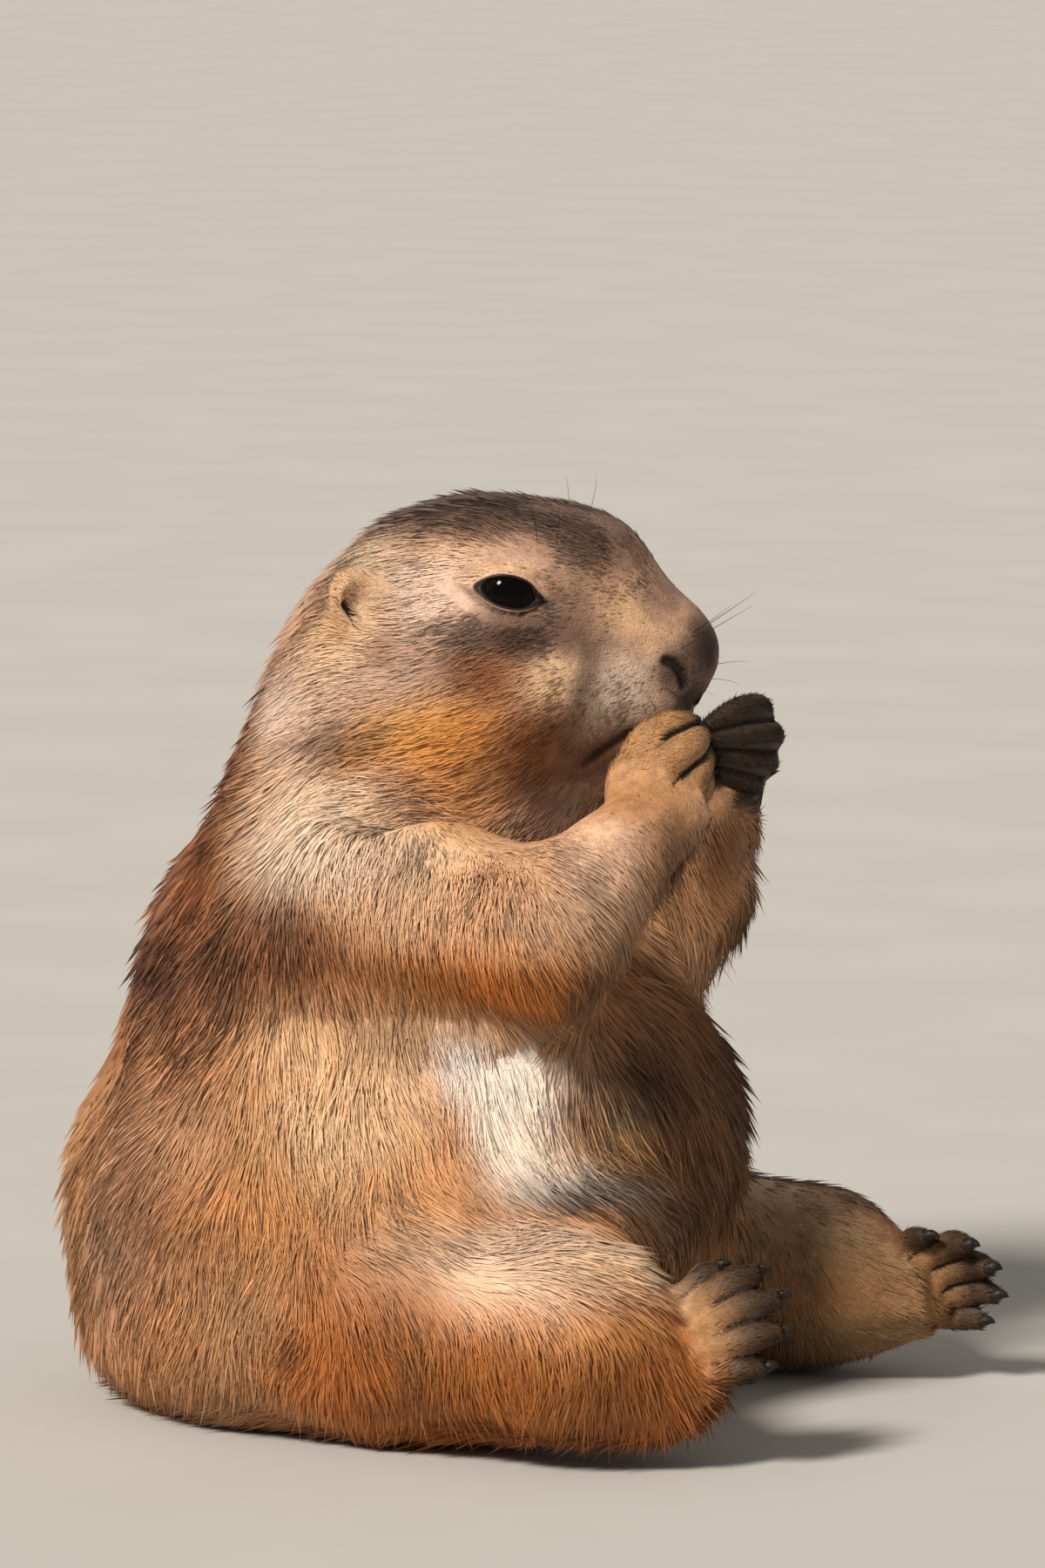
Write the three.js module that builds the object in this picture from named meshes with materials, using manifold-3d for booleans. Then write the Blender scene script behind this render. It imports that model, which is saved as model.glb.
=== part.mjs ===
// A black-tailed prairie dog, life size, sitting on its rump and eating from its forepaws.
// Millimetres. +X is the way the body faces, +Y is its left side, +Z is up, and the floor is at Z 0.
// Each form is a distance field, less than zero inside. Fields are blended, meshed and then parted.
import * as THREE from 'three';
import { mergeVertices } from 'three/addons/utils/BufferGeometryUtils.js';
import Module from 'manifold-3d';

// Driving dimensions

const GAP = 0.34; // between neighbouring pieces
const SHORT_EDGE = 0.06; // edges under this length, left by cuts, are closed up
const HEAD_AT = [-4.2, 0, 147.8]; // the point midway between the ear openings
const HEAD_YAW = 10; // degrees, to the animal's left
const EYE_RADIUS = 6.4;
const EYE_AT = [28.6, 15, 1.8]; // in the head's frame, left side
const EYE_AXIS = [0.26, 1, 0.1]; // the way the left eye looks
const LID_WIDTH = 5.5; // half the length of the opening between the lids
const LID_ABOVE = 3.6;
const LID_BELOW = 2.9;
const LID_TILT = 13; // degrees that the front corner of the eye lies lower
const KNEE_CUT_X = 57;
const CLAW_FORE = 4.6;
const CLAW_HIND = 5.4;

const NECK_TOP_CUT = { at: [-8, 0, 121], facing: [0.42, 0, 1] };
const NECK_BASE_CUT = { at: [-8, 0, 103], facing: [0.2, 0, 1] };

// Cell sizes of the meshing grid, one for each kind of form
const CELL = { body: 7.2, cutter: 9.5, head: 4.1 };
const GRID_SHIFT = 0.17; // of a cell, for a second try where two walls share an edge

// How far neighbouring forms melt into each other
const MELT = { trunk: 12, head: 11, limb: 13, tail: 7, skull: 9, face: 8, lips: 3.6, leg: 8, arm: 7, bend: 6 };

// Settling of points on a surface
const SLOPE_STEP = 0.05;
const SETTLING_TURNS = 5;

// Coat and skin colours
const COLOUR = {
  torso: 0xa8693c,
  neck: 0xb08058,
  head: 0xa58062,
  thigh: 0xb0683a,
  arm: 0xb47646,
  foot: 0xa98250,
  tail: 0x7d5230,
  ear: 0xa88660,
  eye: 0x0b0807,
};

// Distance fields

const smoothMin = (a, b, k) => {
  const h = Math.max(k - Math.abs(a - b), 0) / k;
  return Math.min(a, b) - h * h * k * 0.25;
};

function turning([ax, ay, az]) {
  const r = Math.PI / 180;
  return new THREE.Matrix4().makeRotationFromEuler(new THREE.Euler(ax * r, ay * r, az * r, 'ZYX'));
}

// An ellipsoid, turned by degrees about X, Y and Z.
function ball([cx, cy, cz], [rx, ry, rz], turn = [0, 0, 0]) {
  const m = turning(turn).transpose().elements;
  return (x, y, z) => {
    const dx = x - cx;
    const dy = y - cy;
    const dz = z - cz;
    const u = m[0] * dx + m[4] * dy + m[8] * dz;
    const v = m[1] * dx + m[5] * dy + m[9] * dz;
    const w = m[2] * dx + m[6] * dy + m[10] * dz;
    const near = Math.hypot(u / rx, v / ry, w / rz);
    const slope = Math.hypot(u / (rx * rx), v / (ry * ry), w / (rz * rz));
    return slope > 0 ? (near * (near - 1)) / slope : -Math.min(rx, ry, rz);
  };
}

// A round-ended cone between two points, each with its own radius.
function bone([ax, ay, az], ra, [bx, by, bz], rb) {
  const lx = bx - ax;
  const ly = by - ay;
  const lz = bz - az;
  const length2 = lx * lx + ly * ly + lz * lz;
  return (x, y, z) => {
    const t = ((x - ax) * lx + (y - ay) * ly + (z - az) * lz) / length2;
    const s = Math.min(1, Math.max(0, t));
    const gap = Math.hypot(x - ax - s * lx, y - ay - s * ly, z - az - s * lz);
    return gap - (ra + s * (rb - ra));
  };
}

const blended = (k, forms) => (x, y, z) => {
  let d = forms[0](x, y, z);
  for (let i = 1; i < forms.length; i++) d = smoothMin(d, forms[i](x, y, z), k);
  return d;
};

const together = (forms) => (x, y, z) => Math.min(...forms.map((form) => form(x, y, z)));

const bothSides = (form) => (x, y, z) => form(x, Math.abs(y), z);

function placed(form, matrix) {
  const m = matrix.clone().invert().elements;
  return (x, y, z) =>
    form(
      m[0] * x + m[4] * y + m[8] * z + m[12],
      m[1] * x + m[5] * y + m[9] * z + m[13],
      m[2] * x + m[6] * y + m[10] * z + m[14],
    );
}

// Meshing

// A closed mesh of a field's zero surface inside a box, with one vertex in each grid cell it crosses.
function meshOf(form, low, high, cell) {
  const count = low.map((v, i) => Math.ceil((high[i] - v) / cell) + 1);
  const step = low.map((v, i) => (high[i] - v) / (count[i] - 1));
  const [nx, ny, nz] = count;
  const at = (i, j, k) => i + nx * (j + ny * k);
  const values = new Float64Array(nx * ny * nz);
  for (let k = 0; k < nz; k++) {
    for (let j = 0; j < ny; j++) {
      for (let i = 0; i < nx; i++) {
        const value = form(low[0] + i * step[0], low[1] + j * step[1], low[2] + k * step[2]);
        const border = i * j * k === 0 || i === nx - 1 || j === ny - 1 || k === nz - 1;
        values[at(i, j, k)] = border ? Math.max(value, cell) : value;
      }
    }
  }
  const vertexOf = new Int32Array(nx * ny * nz).fill(-1);
  const positions = [];
  for (let k = 0; k < nz - 1; k++) {
    for (let j = 0; j < ny - 1; j++) {
      for (let i = 0; i < nx - 1; i++) {
        const found = crossing(([a, b, c]) => values[at(i + a, j + b, k + c)]);
        if (found) {
          vertexOf[at(i, j, k)] = positions.length / 3;
          const start = [i, j, k].map((n, axis) => low[axis] + (n + found[axis]) * step[axis]);
          positions.push(...settled(form, start, 0.5 * cell));
        }
      }
    }
  }
  const triangles = [];
  const span = (m, n) => {
    const along = [0, 1, 2].map((axis) => positions[3 * m + axis] - positions[3 * n + axis]);
    return Math.hypot(...along);
  };
  const quad = (a, b, c, d, flip) => {
    const [p, q, r, s] = flip ? [a, d, c, b] : [a, b, c, d];
    if (span(p, r) <= span(q, s)) triangles.push(p, q, r, p, r, s);
    else triangles.push(q, r, s, q, s, p);
  };
  for (let k = 0; k < nz - 1; k++) {
    for (let j = 0; j < ny - 1; j++) {
      for (let i = 0; i < nx - 1; i++) {
        const inside = values[at(i, j, k)] < 0;
        const v = (a, b, c) => vertexOf[at(i - a, j - b, k - c)];
        if (inside !== values[at(i + 1, j, k)] < 0) {
          quad(v(0, 1, 1), v(0, 0, 1), v(0, 0, 0), v(0, 1, 0), !inside);
        }
        if (inside !== values[at(i, j + 1, k)] < 0) {
          quad(v(1, 0, 1), v(1, 0, 0), v(0, 0, 0), v(0, 0, 1), !inside);
        }
        if (inside !== values[at(i, j, k + 1)] < 0) {
          quad(v(1, 1, 0), v(0, 1, 0), v(0, 0, 0), v(1, 0, 0), !inside);
        }
      }
    }
  }
  if (pinched(triangles)) return meshOf(form, low.map((v) => v - GRID_SHIFT * cell), high, cell);
  return solid(positions, triangles);
}

// Whether two parts of the surface share an edge.
function pinched(triangles) {
  const edges = new Set();
  for (let i = 0; i < triangles.length; i += 3) {
    for (let corner = 0; corner < 3; corner++) {
      edges.add(triangles[i + corner] * triangles.length + triangles[i + ((corner + 1) % 3)]);
    }
  }
  return edges.size < triangles.length;
}

// The mean place, in cells, where a field changes sign along the twelve edges of a cell, or null.
function crossing(valueAt) {
  let n = 0;
  const sum = [0, 0, 0];
  for (let a = 0; a < 8; a++) {
    for (let axis = 0; axis < 3; axis++) {
      const b = a | (1 << axis);
      if (b === a) continue;
      const from = [a & 1, (a >> 1) & 1, a >> 2];
      const to = [b & 1, (b >> 1) & 1, b >> 2];
      const va = valueAt(from);
      const vb = valueAt(to);
      if (va < 0 === vb < 0) continue;
      const t = va / (va - vb);
      for (let i = 0; i < 3; i++) sum[i] += from[i] + t * (to[i] - from[i]);
      n++;
    }
  }
  return n ? sum.map((v) => v / n) : null;
}

// A point moved onto a field's zero surface along the slope, but no further than the reach.
function settled(form, start, reach) {
  const p = [...start];
  for (let turn = 0; turn < SETTLING_TURNS; turn++) {
    const d = form(...p);
    const slope = [0, 1, 2].map((axis) => {
      const q = [...p];
      q[axis] += SLOPE_STEP;
      return (form(...q) - d) / SLOPE_STEP;
    });
    const size2 = slope.reduce((s, v) => s + v * v, 0) || 1;
    for (let axis = 0; axis < 3; axis++) p[axis] -= (d * slope[axis]) / size2;
  }
  const travel = Math.hypot(...p.map((v, axis) => v - start[axis])) || 1;
  const share = Math.min(1, reach / travel);
  return p.map((v, axis) => start[axis] + (v - start[axis]) * share);
}

// Solids

const wasm = await Module();
wasm.setup();

function solid(positions, triangles) {
  let volume = 0;
  const corner = (i) => new THREE.Vector3().fromArray(positions, 3 * triangles[i]);
  for (let i = 0; i < triangles.length; i += 3) volume += corner(i).dot(corner(i + 1).cross(corner(i + 2)));
  const triVerts = new Uint32Array(triangles);
  if (volume < 0) triVerts.reverse();
  const mesh = new wasm.Mesh({ numProp: 3, vertProperties: new Float32Array(positions), triVerts });
  return new wasm.Manifold(mesh);
}

function solidOf(geometry) {
  const bare = new THREE.BufferGeometry();
  bare.setAttribute('position', geometry.attributes.position);
  bare.setIndex(geometry.index);
  const merged = mergeVertices(bare, 1e-4);
  const index = merged.index.array;
  const kept = [];
  for (let i = 0; i < index.length; i += 3) {
    const [a, b, c] = index.subarray(i, i + 3);
    if (a !== b && b !== c && c !== a) kept.push(a, b, c);
  }
  return solid(merged.attributes.position.array, kept);
}

function geometryOf(piece) {
  const mesh = piece.getMesh();
  const positions = new Float32Array(mesh.numVert * 3);
  for (let i = 0; i < mesh.numVert; i++) {
    positions.set(mesh.vertProperties.subarray(i * mesh.numProp, i * mesh.numProp + 3), i * 3);
  }
  const geometry = new THREE.BufferGeometry();
  geometry.setAttribute('position', new THREE.BufferAttribute(positions, 3));
  geometry.setIndex(new THREE.BufferAttribute(new Uint32Array(mesh.triVerts), 1));
  geometry.computeVertexNormals();
  return geometry;
}

// The same solid with every vertex moved out along its normal.
function grown(piece, by) {
  const geometry = geometryOf(piece);
  const { position, normal } = geometry.attributes;
  const point = new THREE.Vector3();
  const away = new THREE.Vector3();
  for (let i = 0; i < position.count; i++) {
    away.fromBufferAttribute(normal, i);
    point.fromBufferAttribute(position, i).addScaledVector(away, by);
    position.setXYZ(i, point.x, point.y, point.z);
  }
  return solid(position.array, geometry.index.array);
}

// A solid kept clear of another by the gap.
const clearOf = (piece, other) => piece.subtract(grown(other, GAP)).subtract(other);

// A solid through a row of rings of points, closed at each end by a point.
function loft(rings, firstTip, lastTip) {
  const sides = rings[0].length;
  const positions = [firstTip, ...rings.flat(), lastTip].flat();
  const last = 1 + rings.length * sides;
  const triangles = [];
  for (let i = 0; i < sides; i++) {
    const j = (i + 1) % sides;
    triangles.push(0, 1 + j, 1 + i, last, last - sides + i, last - sides + j);
    for (let r = 0; r < rings.length - 1; r++) {
      const a = 1 + r * sides;
      triangles.push(a + i, a + j, a + sides + j, a + i, a + sides + j, a + sides + i);
    }
  }
  return solid(positions, triangles);
}

// A tube along a smooth curve, with a radius for each of the points that the curve goes through.
// With a broad direction given, each ring is wider that way by the factor.
function tube(points, radii, sides, stations, broad, factor = 1) {
  const curve = new THREE.CatmullRomCurve3(points.map((p) => new THREE.Vector3(...p)));
  const frames = curve.computeFrenetFrames(stations, false);
  const radiusAt = (u) => {
    const s = u * (radii.length - 1);
    const i = Math.min(Math.floor(s), radii.length - 2);
    return radii[i] + (s - i) * (radii[i + 1] - radii[i]);
  };
  const rings = [];
  for (let s = 0; s <= stations; s++) {
    const centre = curve.getPointAt(s / stations);
    const across = broad ? new THREE.Vector3(...broad) : frames.normals[s].clone();
    across.addScaledVector(frames.tangents[s], -across.dot(frames.tangents[s])).normalize();
    const other = new THREE.Vector3().crossVectors(frames.tangents[s], across);
    const radius = radiusAt(s / stations);
    const ring = [];
    for (let i = 0; i < sides; i++) {
      const turn = (2 * Math.PI * i) / sides;
      const point = centre.clone().addScaledVector(across, Math.cos(turn) * radius * factor);
      ring.push(point.addScaledVector(other, Math.sin(turn) * radius).toArray());
    }
    rings.push(ring);
  }
  const tip = (s, way) => {
    const radius = radiusAt(s / stations);
    return curve.getPointAt(s / stations).addScaledVector(frames.tangents[s], way * radius * 0.5).toArray();
  };
  return loft(rings, tip(0, -1), tip(stations, 1));
}

// The same solid with its very short edges drawn together to a point.
function tidied(piece) {
  const geometry = geometryOf(piece);
  const { position } = geometry.attributes;
  const index = geometry.index.array;
  const triangles = [];
  const around = Array.from({ length: position.count }, () => new Set());
  for (let i = 0; i < index.length; i += 3) {
    const triangle = [...index.subarray(i, i + 3)];
    triangle.forEach((v) => around[v].add(triangle));
    triangles.push(triangle);
  }
  const point = (v) => new THREE.Vector3().fromBufferAttribute(position, v);
  const beside = (v) => new Set([...around[v]].flat().filter((w) => w !== v));
  const dropped = new Set();
  for (const triangle of triangles) {
    for (let corner = 0; corner < 3 && !dropped.has(triangle); corner++) {
      const a = triangle[corner];
      const b = triangle[(corner + 1) % 3];
      if (point(a).distanceTo(point(b)) > SHORT_EDGE) continue;
      const shared = [...beside(a)].filter((v) => beside(b).has(v));
      if (shared.length !== 2) continue;
      for (const next of around[b]) {
        if (next.includes(a)) {
          dropped.add(next);
          next.forEach((v) => v !== b && around[v].delete(next));
        } else {
          next[next.indexOf(b)] = a;
          around[a].add(next);
        }
      }
      around[b].clear();
    }
  }
  return solid(position.array, triangles.filter((triangle) => !dropped.has(triangle)).flat());
}

const largest = (piece) => piece.decompose().sort((a, b) => b.volume() - a.volume())[0];

// The part of a solid on the side that facing points to, kept back by half a gap, or the other part.
function above(piece, { at, facing }) {
  const n = new THREE.Vector3(...facing).normalize();
  return piece.trimByPlane(n.toArray(), n.dot(new THREE.Vector3(...at)) + GAP / 2);
}
const below = (piece, { at, facing }) => above(piece, { at, facing: facing.map((v) => -v) });

// Head form, in its own frame: +X to the nose, +Z up, and the origin midway between the ears

function headForm() {
  const cranium = ball([16.5, 0, -3], [25, 24, 21]);
  const brow = ball([31, 0, 3], [20, 18.5, 14.5]);
  const bridge = bone([40, 0, 0], 13, [54, 0, -7.5], 8.2);
  const snout = ball([51, 0, -11], [12, 10.5, 10], [0, 10, 0]);
  const nose = ball([58.8, 0, -10], [5, 5.4, 5.6]);
  const lipPad = bothSides(ball([50, 4.8, -17.5], [10.5, 7.4, 6.8], [0, 14, -12]));
  const chin = ball([44, 0, -25.5], [10.5, 7.6, 5.6], [0, 10, 0]);
  const jaw = ball([25, 0, -25], [24, 18, 15]);
  const cheek = bothSides(ball([20, 13.5, -17], [23, 13.5, 17], [0, 0, 8]));
  const nape = ball([-1, 0, -18], [15, 25, 22]);
  const jowl = bothSides(ball([38, 8, -12], [14, 8.5, 12]));
  const skull = blended(MELT.skull, [cranium, brow, cheek, jaw, nape, jowl]);
  const face = blended(MELT.face, [skull, bridge, snout, chin]);
  return blended(MELT.lips, [face, nose, lipPad]);
}

const headPlace = new THREE.Matrix4().makeTranslation(...HEAD_AT).multiply(turning([0, 0, HEAD_YAW]));
const headShape = headForm();

// Trunk form: rump, belly, back, chest and neck

function trunkForm() {
  const rump = ball([-4, 0, 37], [57.5, 56, 50]);
  const base = ball([-2, 0, 16], [55, 57, 24]);
  const belly = ball([17, 0, 50], [50, 52, 44]);
  const back = ball([-8, 0, 76], [39, 46, 40]);
  const chest = ball([6, 0, 90], [34, 38, 34]);
  const shoulders = bothSides(ball([0, 22, 100], [26, 20, 22]));
  const neck = ball([-2, 0, 117], [24.5, 30, 26]);
  return blended(MELT.trunk, [rump, base, belly, back, chest, shoulders, neck]);
}

// Limb forms

const LEG = {
  right: { hip: [22, -41, 24], knee: [55, -48, 22], ankle: [69.5, -45, 15.5], thick: [24, 18.5, 12.2] },
  left: { hip: [24, 41, 23], knee: [66, 48, 18], ankle: [83, 45, 16], thick: [23, 16.5, 10] },
};

function legForm({ hip, knee, ankle, thick }) {
  return blended(MELT.leg, [bone(hip, thick[0], knee, thick[1]), bone(knee, thick[1], ankle, thick[2])]);
}

const ARM = {
  right: { shoulder: [8, -31, 94], elbow: [45, -39, 92], wrist: [57.5, -11, 111] },
  left: { shoulder: [8, 31, 94], elbow: [42.5, 36, 90], wrist: [56, 24.5, 109] },
};

function armForm({ shoulder, elbow, wrist }) {
  return blended(MELT.arm, [bone(shoulder, 16.5, elbow, 14.5), bone(elbow, 13.5, wrist, 8.5)]);
}

function tailForm() {
  return blended(MELT.bend, [
    bone([-42, 2, 12], 12, [-57, 22, 9], 9.5),
    bone([-57, 22, 9], 9.5, [-58, 42, 8], 8.5),
    bone([-58, 42, 8], 8.5, [-47, 60, 7], 6.2),
  ]);
}

// The whole body meshed as one and parted along the folds between trunk and limbs

const trunk = trunkForm();
const trunkAndHead = blended(MELT.head, [trunk, placed(headShape, headPlace)]);
const legs = [legForm(LEG.right), legForm(LEG.left)];
const arms = [armForm(ARM.right), armForm(ARM.left)];
const tail = tailForm();
const torsoAndLimbs = (x, y, z) => {
  let d = trunk(x, y, z);
  for (const leg of legs) d = smoothMin(d, leg(x, y, z), MELT.limb);
  for (const arm of arms) d = smoothMin(d, arm(x, y, z), MELT.limb);
  return smoothMin(d, tail(x, y, z), MELT.tail);
};
const whole = together([torsoAndLimbs, trunkAndHead]);
const body = meshOf(whole, [-84, -84, -16], [100, 84, 152], CELL.body).trimByPlane([0, 0, 1], 0);

// The space nearer to a limb than to the trunk and head
function spaceOf(limb, low, high) {
  return meshOf((x, y, z) => limb(x, y, z) - trunkAndHead(x, y, z), low, high, CELL.cutter);
}
const legSpaces = [
  spaceOf(legs[0], [-20, -84, -20], [106, -6, 66]),
  spaceOf(legs[1], [-20, 6, -20], [106, 84, 66]),
];
const armSpaces = [
  spaceOf(arms[0], [-26, -72, 62], [82, 6, 134]),
  spaceOf(arms[1], [-26, -4, 62], [82, 72, 134]),
];
const tailSpace = spaceOf(tail, [-84, -20, -16], [-20, 84, 30]);

const pieces = new Map();
const keep = (name, piece, colour) => {
  pieces.set(name, { piece: tidied(largest(piece)), colour });
  return pieces.get(name).piece;
};

let bare = body;
for (const space of [...legSpaces, ...armSpaces, tailSpace]) bare = clearOf(bare, space);
keep('torso', below(bare, NECK_BASE_CUT), COLOUR.torso);
keep('neck', below(above(bare, NECK_BASE_CUT), NECK_TOP_CUT), COLOUR.neck);
keep('tail', body.intersect(tailSpace), COLOUR.tail);

// Head with lids, nostrils and the line of the mouth

const onHead = (points) => points.map((p) => settled(headShape, p, 30));
const sided = (points, side) => points.map(([x, y, z]) => [x, side * y, z]);

function eyeFrame() {
  const out = new THREE.Vector3(...EYE_AXIS).normalize();
  const along = new THREE.Vector3(1, 0, 0).addScaledVector(out, -out.x).normalize();
  const up = new THREE.Vector3().crossVectors(along, out);
  const tilt = (LID_TILT * Math.PI) / 180;
  const forward = along.clone().multiplyScalar(Math.cos(tilt)).addScaledVector(up, -Math.sin(tilt));
  const over = up.clone().multiplyScalar(Math.cos(tilt)).addScaledVector(along, Math.sin(tilt));
  return { forward, over, out };
}

// Points of the opening between the lids, at a distance out from the middle of the eyeball.
function lidOutline(count, widen, distance) {
  const { forward, over, out } = eyeFrame();
  const points = [];
  for (let i = 0; i < count; i++) {
    const turn = (2 * Math.PI * i) / count;
    const along = Math.cos(turn) * (LID_WIDTH + widen);
    const rise = Math.sin(turn) * ((Math.sin(turn) > 0 ? LID_ABOVE : LID_BELOW) + widen);
    const pinch = 1 - 0.35 * Math.abs(Math.cos(turn)) ** 3;
    const lift = distance ?? Math.sqrt((EYE_RADIUS + 0.9) ** 2 - along ** 2 - (rise * pinch) ** 2);
    const point = new THREE.Vector3(...EYE_AT)
      .addScaledVector(forward, along)
      .addScaledVector(over, rise * pinch)
      .addScaledVector(out, lift);
    points.push(point.toArray());
  }
  return points;
}

function lidRim(side) {
  const curve = new THREE.CatmullRomCurve3(
    sided(lidOutline(16, 0.4), side).map((p) => new THREE.Vector3(...p)),
    true,
  );
  return solidOf(new THREE.TubeGeometry(curve, 20, 1.35, 6, true));
}

function lidOpening(side) {
  const rings = [1.5, 12].map((distance) => sided(lidOutline(18, 0, distance), side));
  const middle = (ring) => [0, 1, 2].map((axis) => ring.reduce((s, p) => s + p[axis], 0) / ring.length);
  return loft(rings, middle(rings[0]), middle(rings[1]));
}

function eyeball(radius, across, down, side) {
  const geometry = new THREE.SphereGeometry(radius, across, down);
  geometry.translate(...sided([EYE_AT], side)[0]);
  return solidOf(geometry);
}

function nostril(side) {
  const path = onHead(sided([[63, 2.6, -11.8], [61.6, 4.4, -10.2], [58.6, 5.6, -9.8], [56.6, 5.8, -11]], side));
  return tube(path, [0.5, 1.1, 0.9, 0.4], 6, 6);
}

function mouthLine() {
  const half = [[59.5, 2.6, -18.8], [55.5, 7, -21.5], [50, 10.5, -24], [45, 13, -27.5], [43, 14, -29.5]];
  const path = onHead([...sided(half, -1).reverse(), [61, 0, -17.8], ...half]);
  const radii = path.map((_, i) => (i === 0 || i === path.length - 1 ? 0.4 : 0.95));
  return tube(path, radii, 5, 24);
}

function noseGroove() {
  return tube(onHead([[64, 0, -9], [63.4, 0, -13], [61.5, 0, -17.5]]), [0.35, 0.55, 0.6], 5, 4);
}

function earHole(side) {
  return tube(sided([[4.4, 28, 0], [3.6, 22.5, -0.2], [2.2, 17, -0.6]], side), [3.4, 2.2, 1], 8, 3);
}

const headMesh = meshOf(
  blended(MELT.head, [placed(trunk, headPlace.clone().invert()), headShape]),
  [-46, -50, -56],
  [72, 50, 28],
  CELL.head,
);
let skull = headMesh;
for (const side of [-1, 1]) skull = skull.add(lidRim(side));
const openings = [mouthLine(), noseGroove()];
for (const side of [-1, 1]) {
  openings.push(lidOpening(side), eyeball(EYE_RADIUS + GAP + 0.15, 12, 8, side), nostril(side), earHole(side));
}
for (const opening of openings) skull = skull.subtract(opening);

// Moves a solid from the head's frame to the body's
const carried = (piece) => {
  const geometry = geometryOf(piece).applyMatrix4(headPlace);
  return solid(geometry.attributes.position.array, geometry.index.array);
};
const head = keep('head', above(carried(skull), NECK_TOP_CUT), COLOUR.head);
keep('eye_right', carried(eyeball(EYE_RADIUS, 16, 10, -1)), COLOUR.eye);
keep('eye_left', carried(eyeball(EYE_RADIUS, 16, 10, 1)), COLOUR.eye);

// Ears: low flaps with the cup facing out and forward

function ellipsoid(centre, radii, turn, across, down) {
  const geometry = new THREE.SphereGeometry(1, across, down);
  geometry.scale(...radii).applyMatrix4(turning(turn)).translate(...centre);
  return solidOf(geometry);
}
for (const [side, name] of [[-1, 'right'], [1, 'left']]) {
  const flap = ellipsoid([1.6, side * 22, 1.6], [4.9, 4.6, 6.8], [side * 8, -12, 0], 14, 9);
  const cup = ellipsoid([4.1, side * 25.8, 0.6], [3.7, 5, 4.8], [side * 8, -12, 0], 12, 8);
  keep(`ear_${name}`, clearOf(carried(flap.subtract(cup)), head), COLOUR.ear);
}

// Arms and legs, cut at the elbow and knee

const elbowCut = ({ shoulder, elbow, wrist }) => {
  const [s, e, w] = [shoulder, elbow, wrist].map((p) => new THREE.Vector3(...p));
  const facing = w.clone().sub(e).normalize().add(e.clone().sub(s).normalize());
  return { at: elbow, facing: facing.toArray() };
};
const forearms = {};
const shins = {};
for (const [i, name] of [[0, 'right'], [1, 'left']]) {
  const arm = largest(clearOf(body.intersect(armSpaces[i]), head));
  const cut = elbowCut(ARM[name]);
  keep(`upper_arm_${name}`, below(arm, cut), COLOUR.arm);
  forearms[name] = keep(`forearm_${name}`, above(arm, cut), COLOUR.arm);
  const leg = largest(body.intersect(legSpaces[i]));
  const kneeCut = { at: [KNEE_CUT_X, 0, 0], facing: [1, 0, 0] };
  keep(`thigh_${name}`, below(leg, kneeCut), COLOUR.thigh);
  shins[name] = keep(`shin_${name}`, above(leg, kneeCut), COLOUR.thigh);
}

// Forepaws: a palm and four bent fingers, each with a claw

const PAW = {
  right: {
    palm: [[56.5, -12, 108.5], [56, -8.5, 113], [53.5, -6.5, 117.5], [51.5, -5.5, 120.5]],
    palmRadii: [6, 6.6, 6.4, 4.2],
    fingers: [
      [[50.5, -6.5, 119.5], [50.6, -8.5, 123.6], [54.4, -8, 126.6], [60.2, -2.5, 126.2]],
      [[53, -8.5, 115.6], [54.4, -11, 119.6], [58.6, -10.4, 122.4], [62.4, -3.6, 121.8]],
      [[55.5, -9.5, 112.6], [57.6, -11.2, 115.4], [61.6, -9.8, 117.8], [63.6, -4, 117.6]],
      [[57.5, -7.5, 110.8], [60, -8.4, 112.2], [63, -6.6, 113.8], [63.8, -2, 114.2]],
    ],
    radii: [3.5, 3.4, 3.1, 2.6],
    inward: [0.35, 1, -0.1],
  },
  left: {
    palm: [[56, 25, 106.5], [56.6, 25.5, 111], [57.4, 25.4, 116], [58.4, 25, 120.5]],
    palmRadii: [6.2, 6.6, 6.4, 4.6],
    fingers: [
      [[58.5, 25, 121], [63, 23.4, 125], [64.4, 17.6, 127.4], [59.2, 9.8, 126.8]],
      [[59.5, 26, 117.4], [64.6, 24.2, 120.6], [66, 18, 122.8], [61.2, 9.8, 122]],
      [[60, 25.6, 113.4], [64.4, 23.4, 116], [65.4, 17.6, 117.8], [61.8, 10.4, 117.4]],
      [[59, 23.6, 110.4], [62.4, 21, 112], [63.4, 16, 113.4], [61.2, 10.8, 113.4]],
    ],
    radii: [3.3, 3.2, 3, 2.6],
    inward: [-0.5, -1, -0.1],
  },
};

// A finger or toe, a little thicker at the knuckles and rounded at the tip
const digit = (points, radius) =>
  tube(points, [0.9, 1, 0.96, 1.04, 0.94, 0.62].map((share) => share * radius), 7, 7);

function claw(tip, direction, length, root) {
  const way = new THREE.Vector3(...direction).normalize();
  const at = (far, drop) => [
    tip[0] + way.x * far * length,
    tip[1] + way.y * far * length,
    tip[2] + way.z * far * length - drop * length,
  ];
  const path = [at(-0.35, -0.14), at(0.25, -0.12), at(0.65, 0.02), at(1, 0.24)];
  return tube(path, [root, root * 0.95, root * 0.6, 0.16], 5, 4);
}

for (const name of ['right', 'left']) {
  const { palm, palmRadii, fingers, radii, inward } = PAW[name];
  let hand = tube(palm, palmRadii, 12, 7);
  fingers.forEach((finger, i) => {
    hand = hand.add(digit(finger, radii[i])).add(claw(finger.at(-1), inward, CLAW_FORE, radii[i] * 0.42));
  });
  keep(`forepaw_${name}`, clearOf(clearOf(hand, forearms[name]), head), COLOUR.foot);
}

// Hind feet, made in their own frame: +X to the toes, +Z the upper side, +Y the inner side

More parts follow.
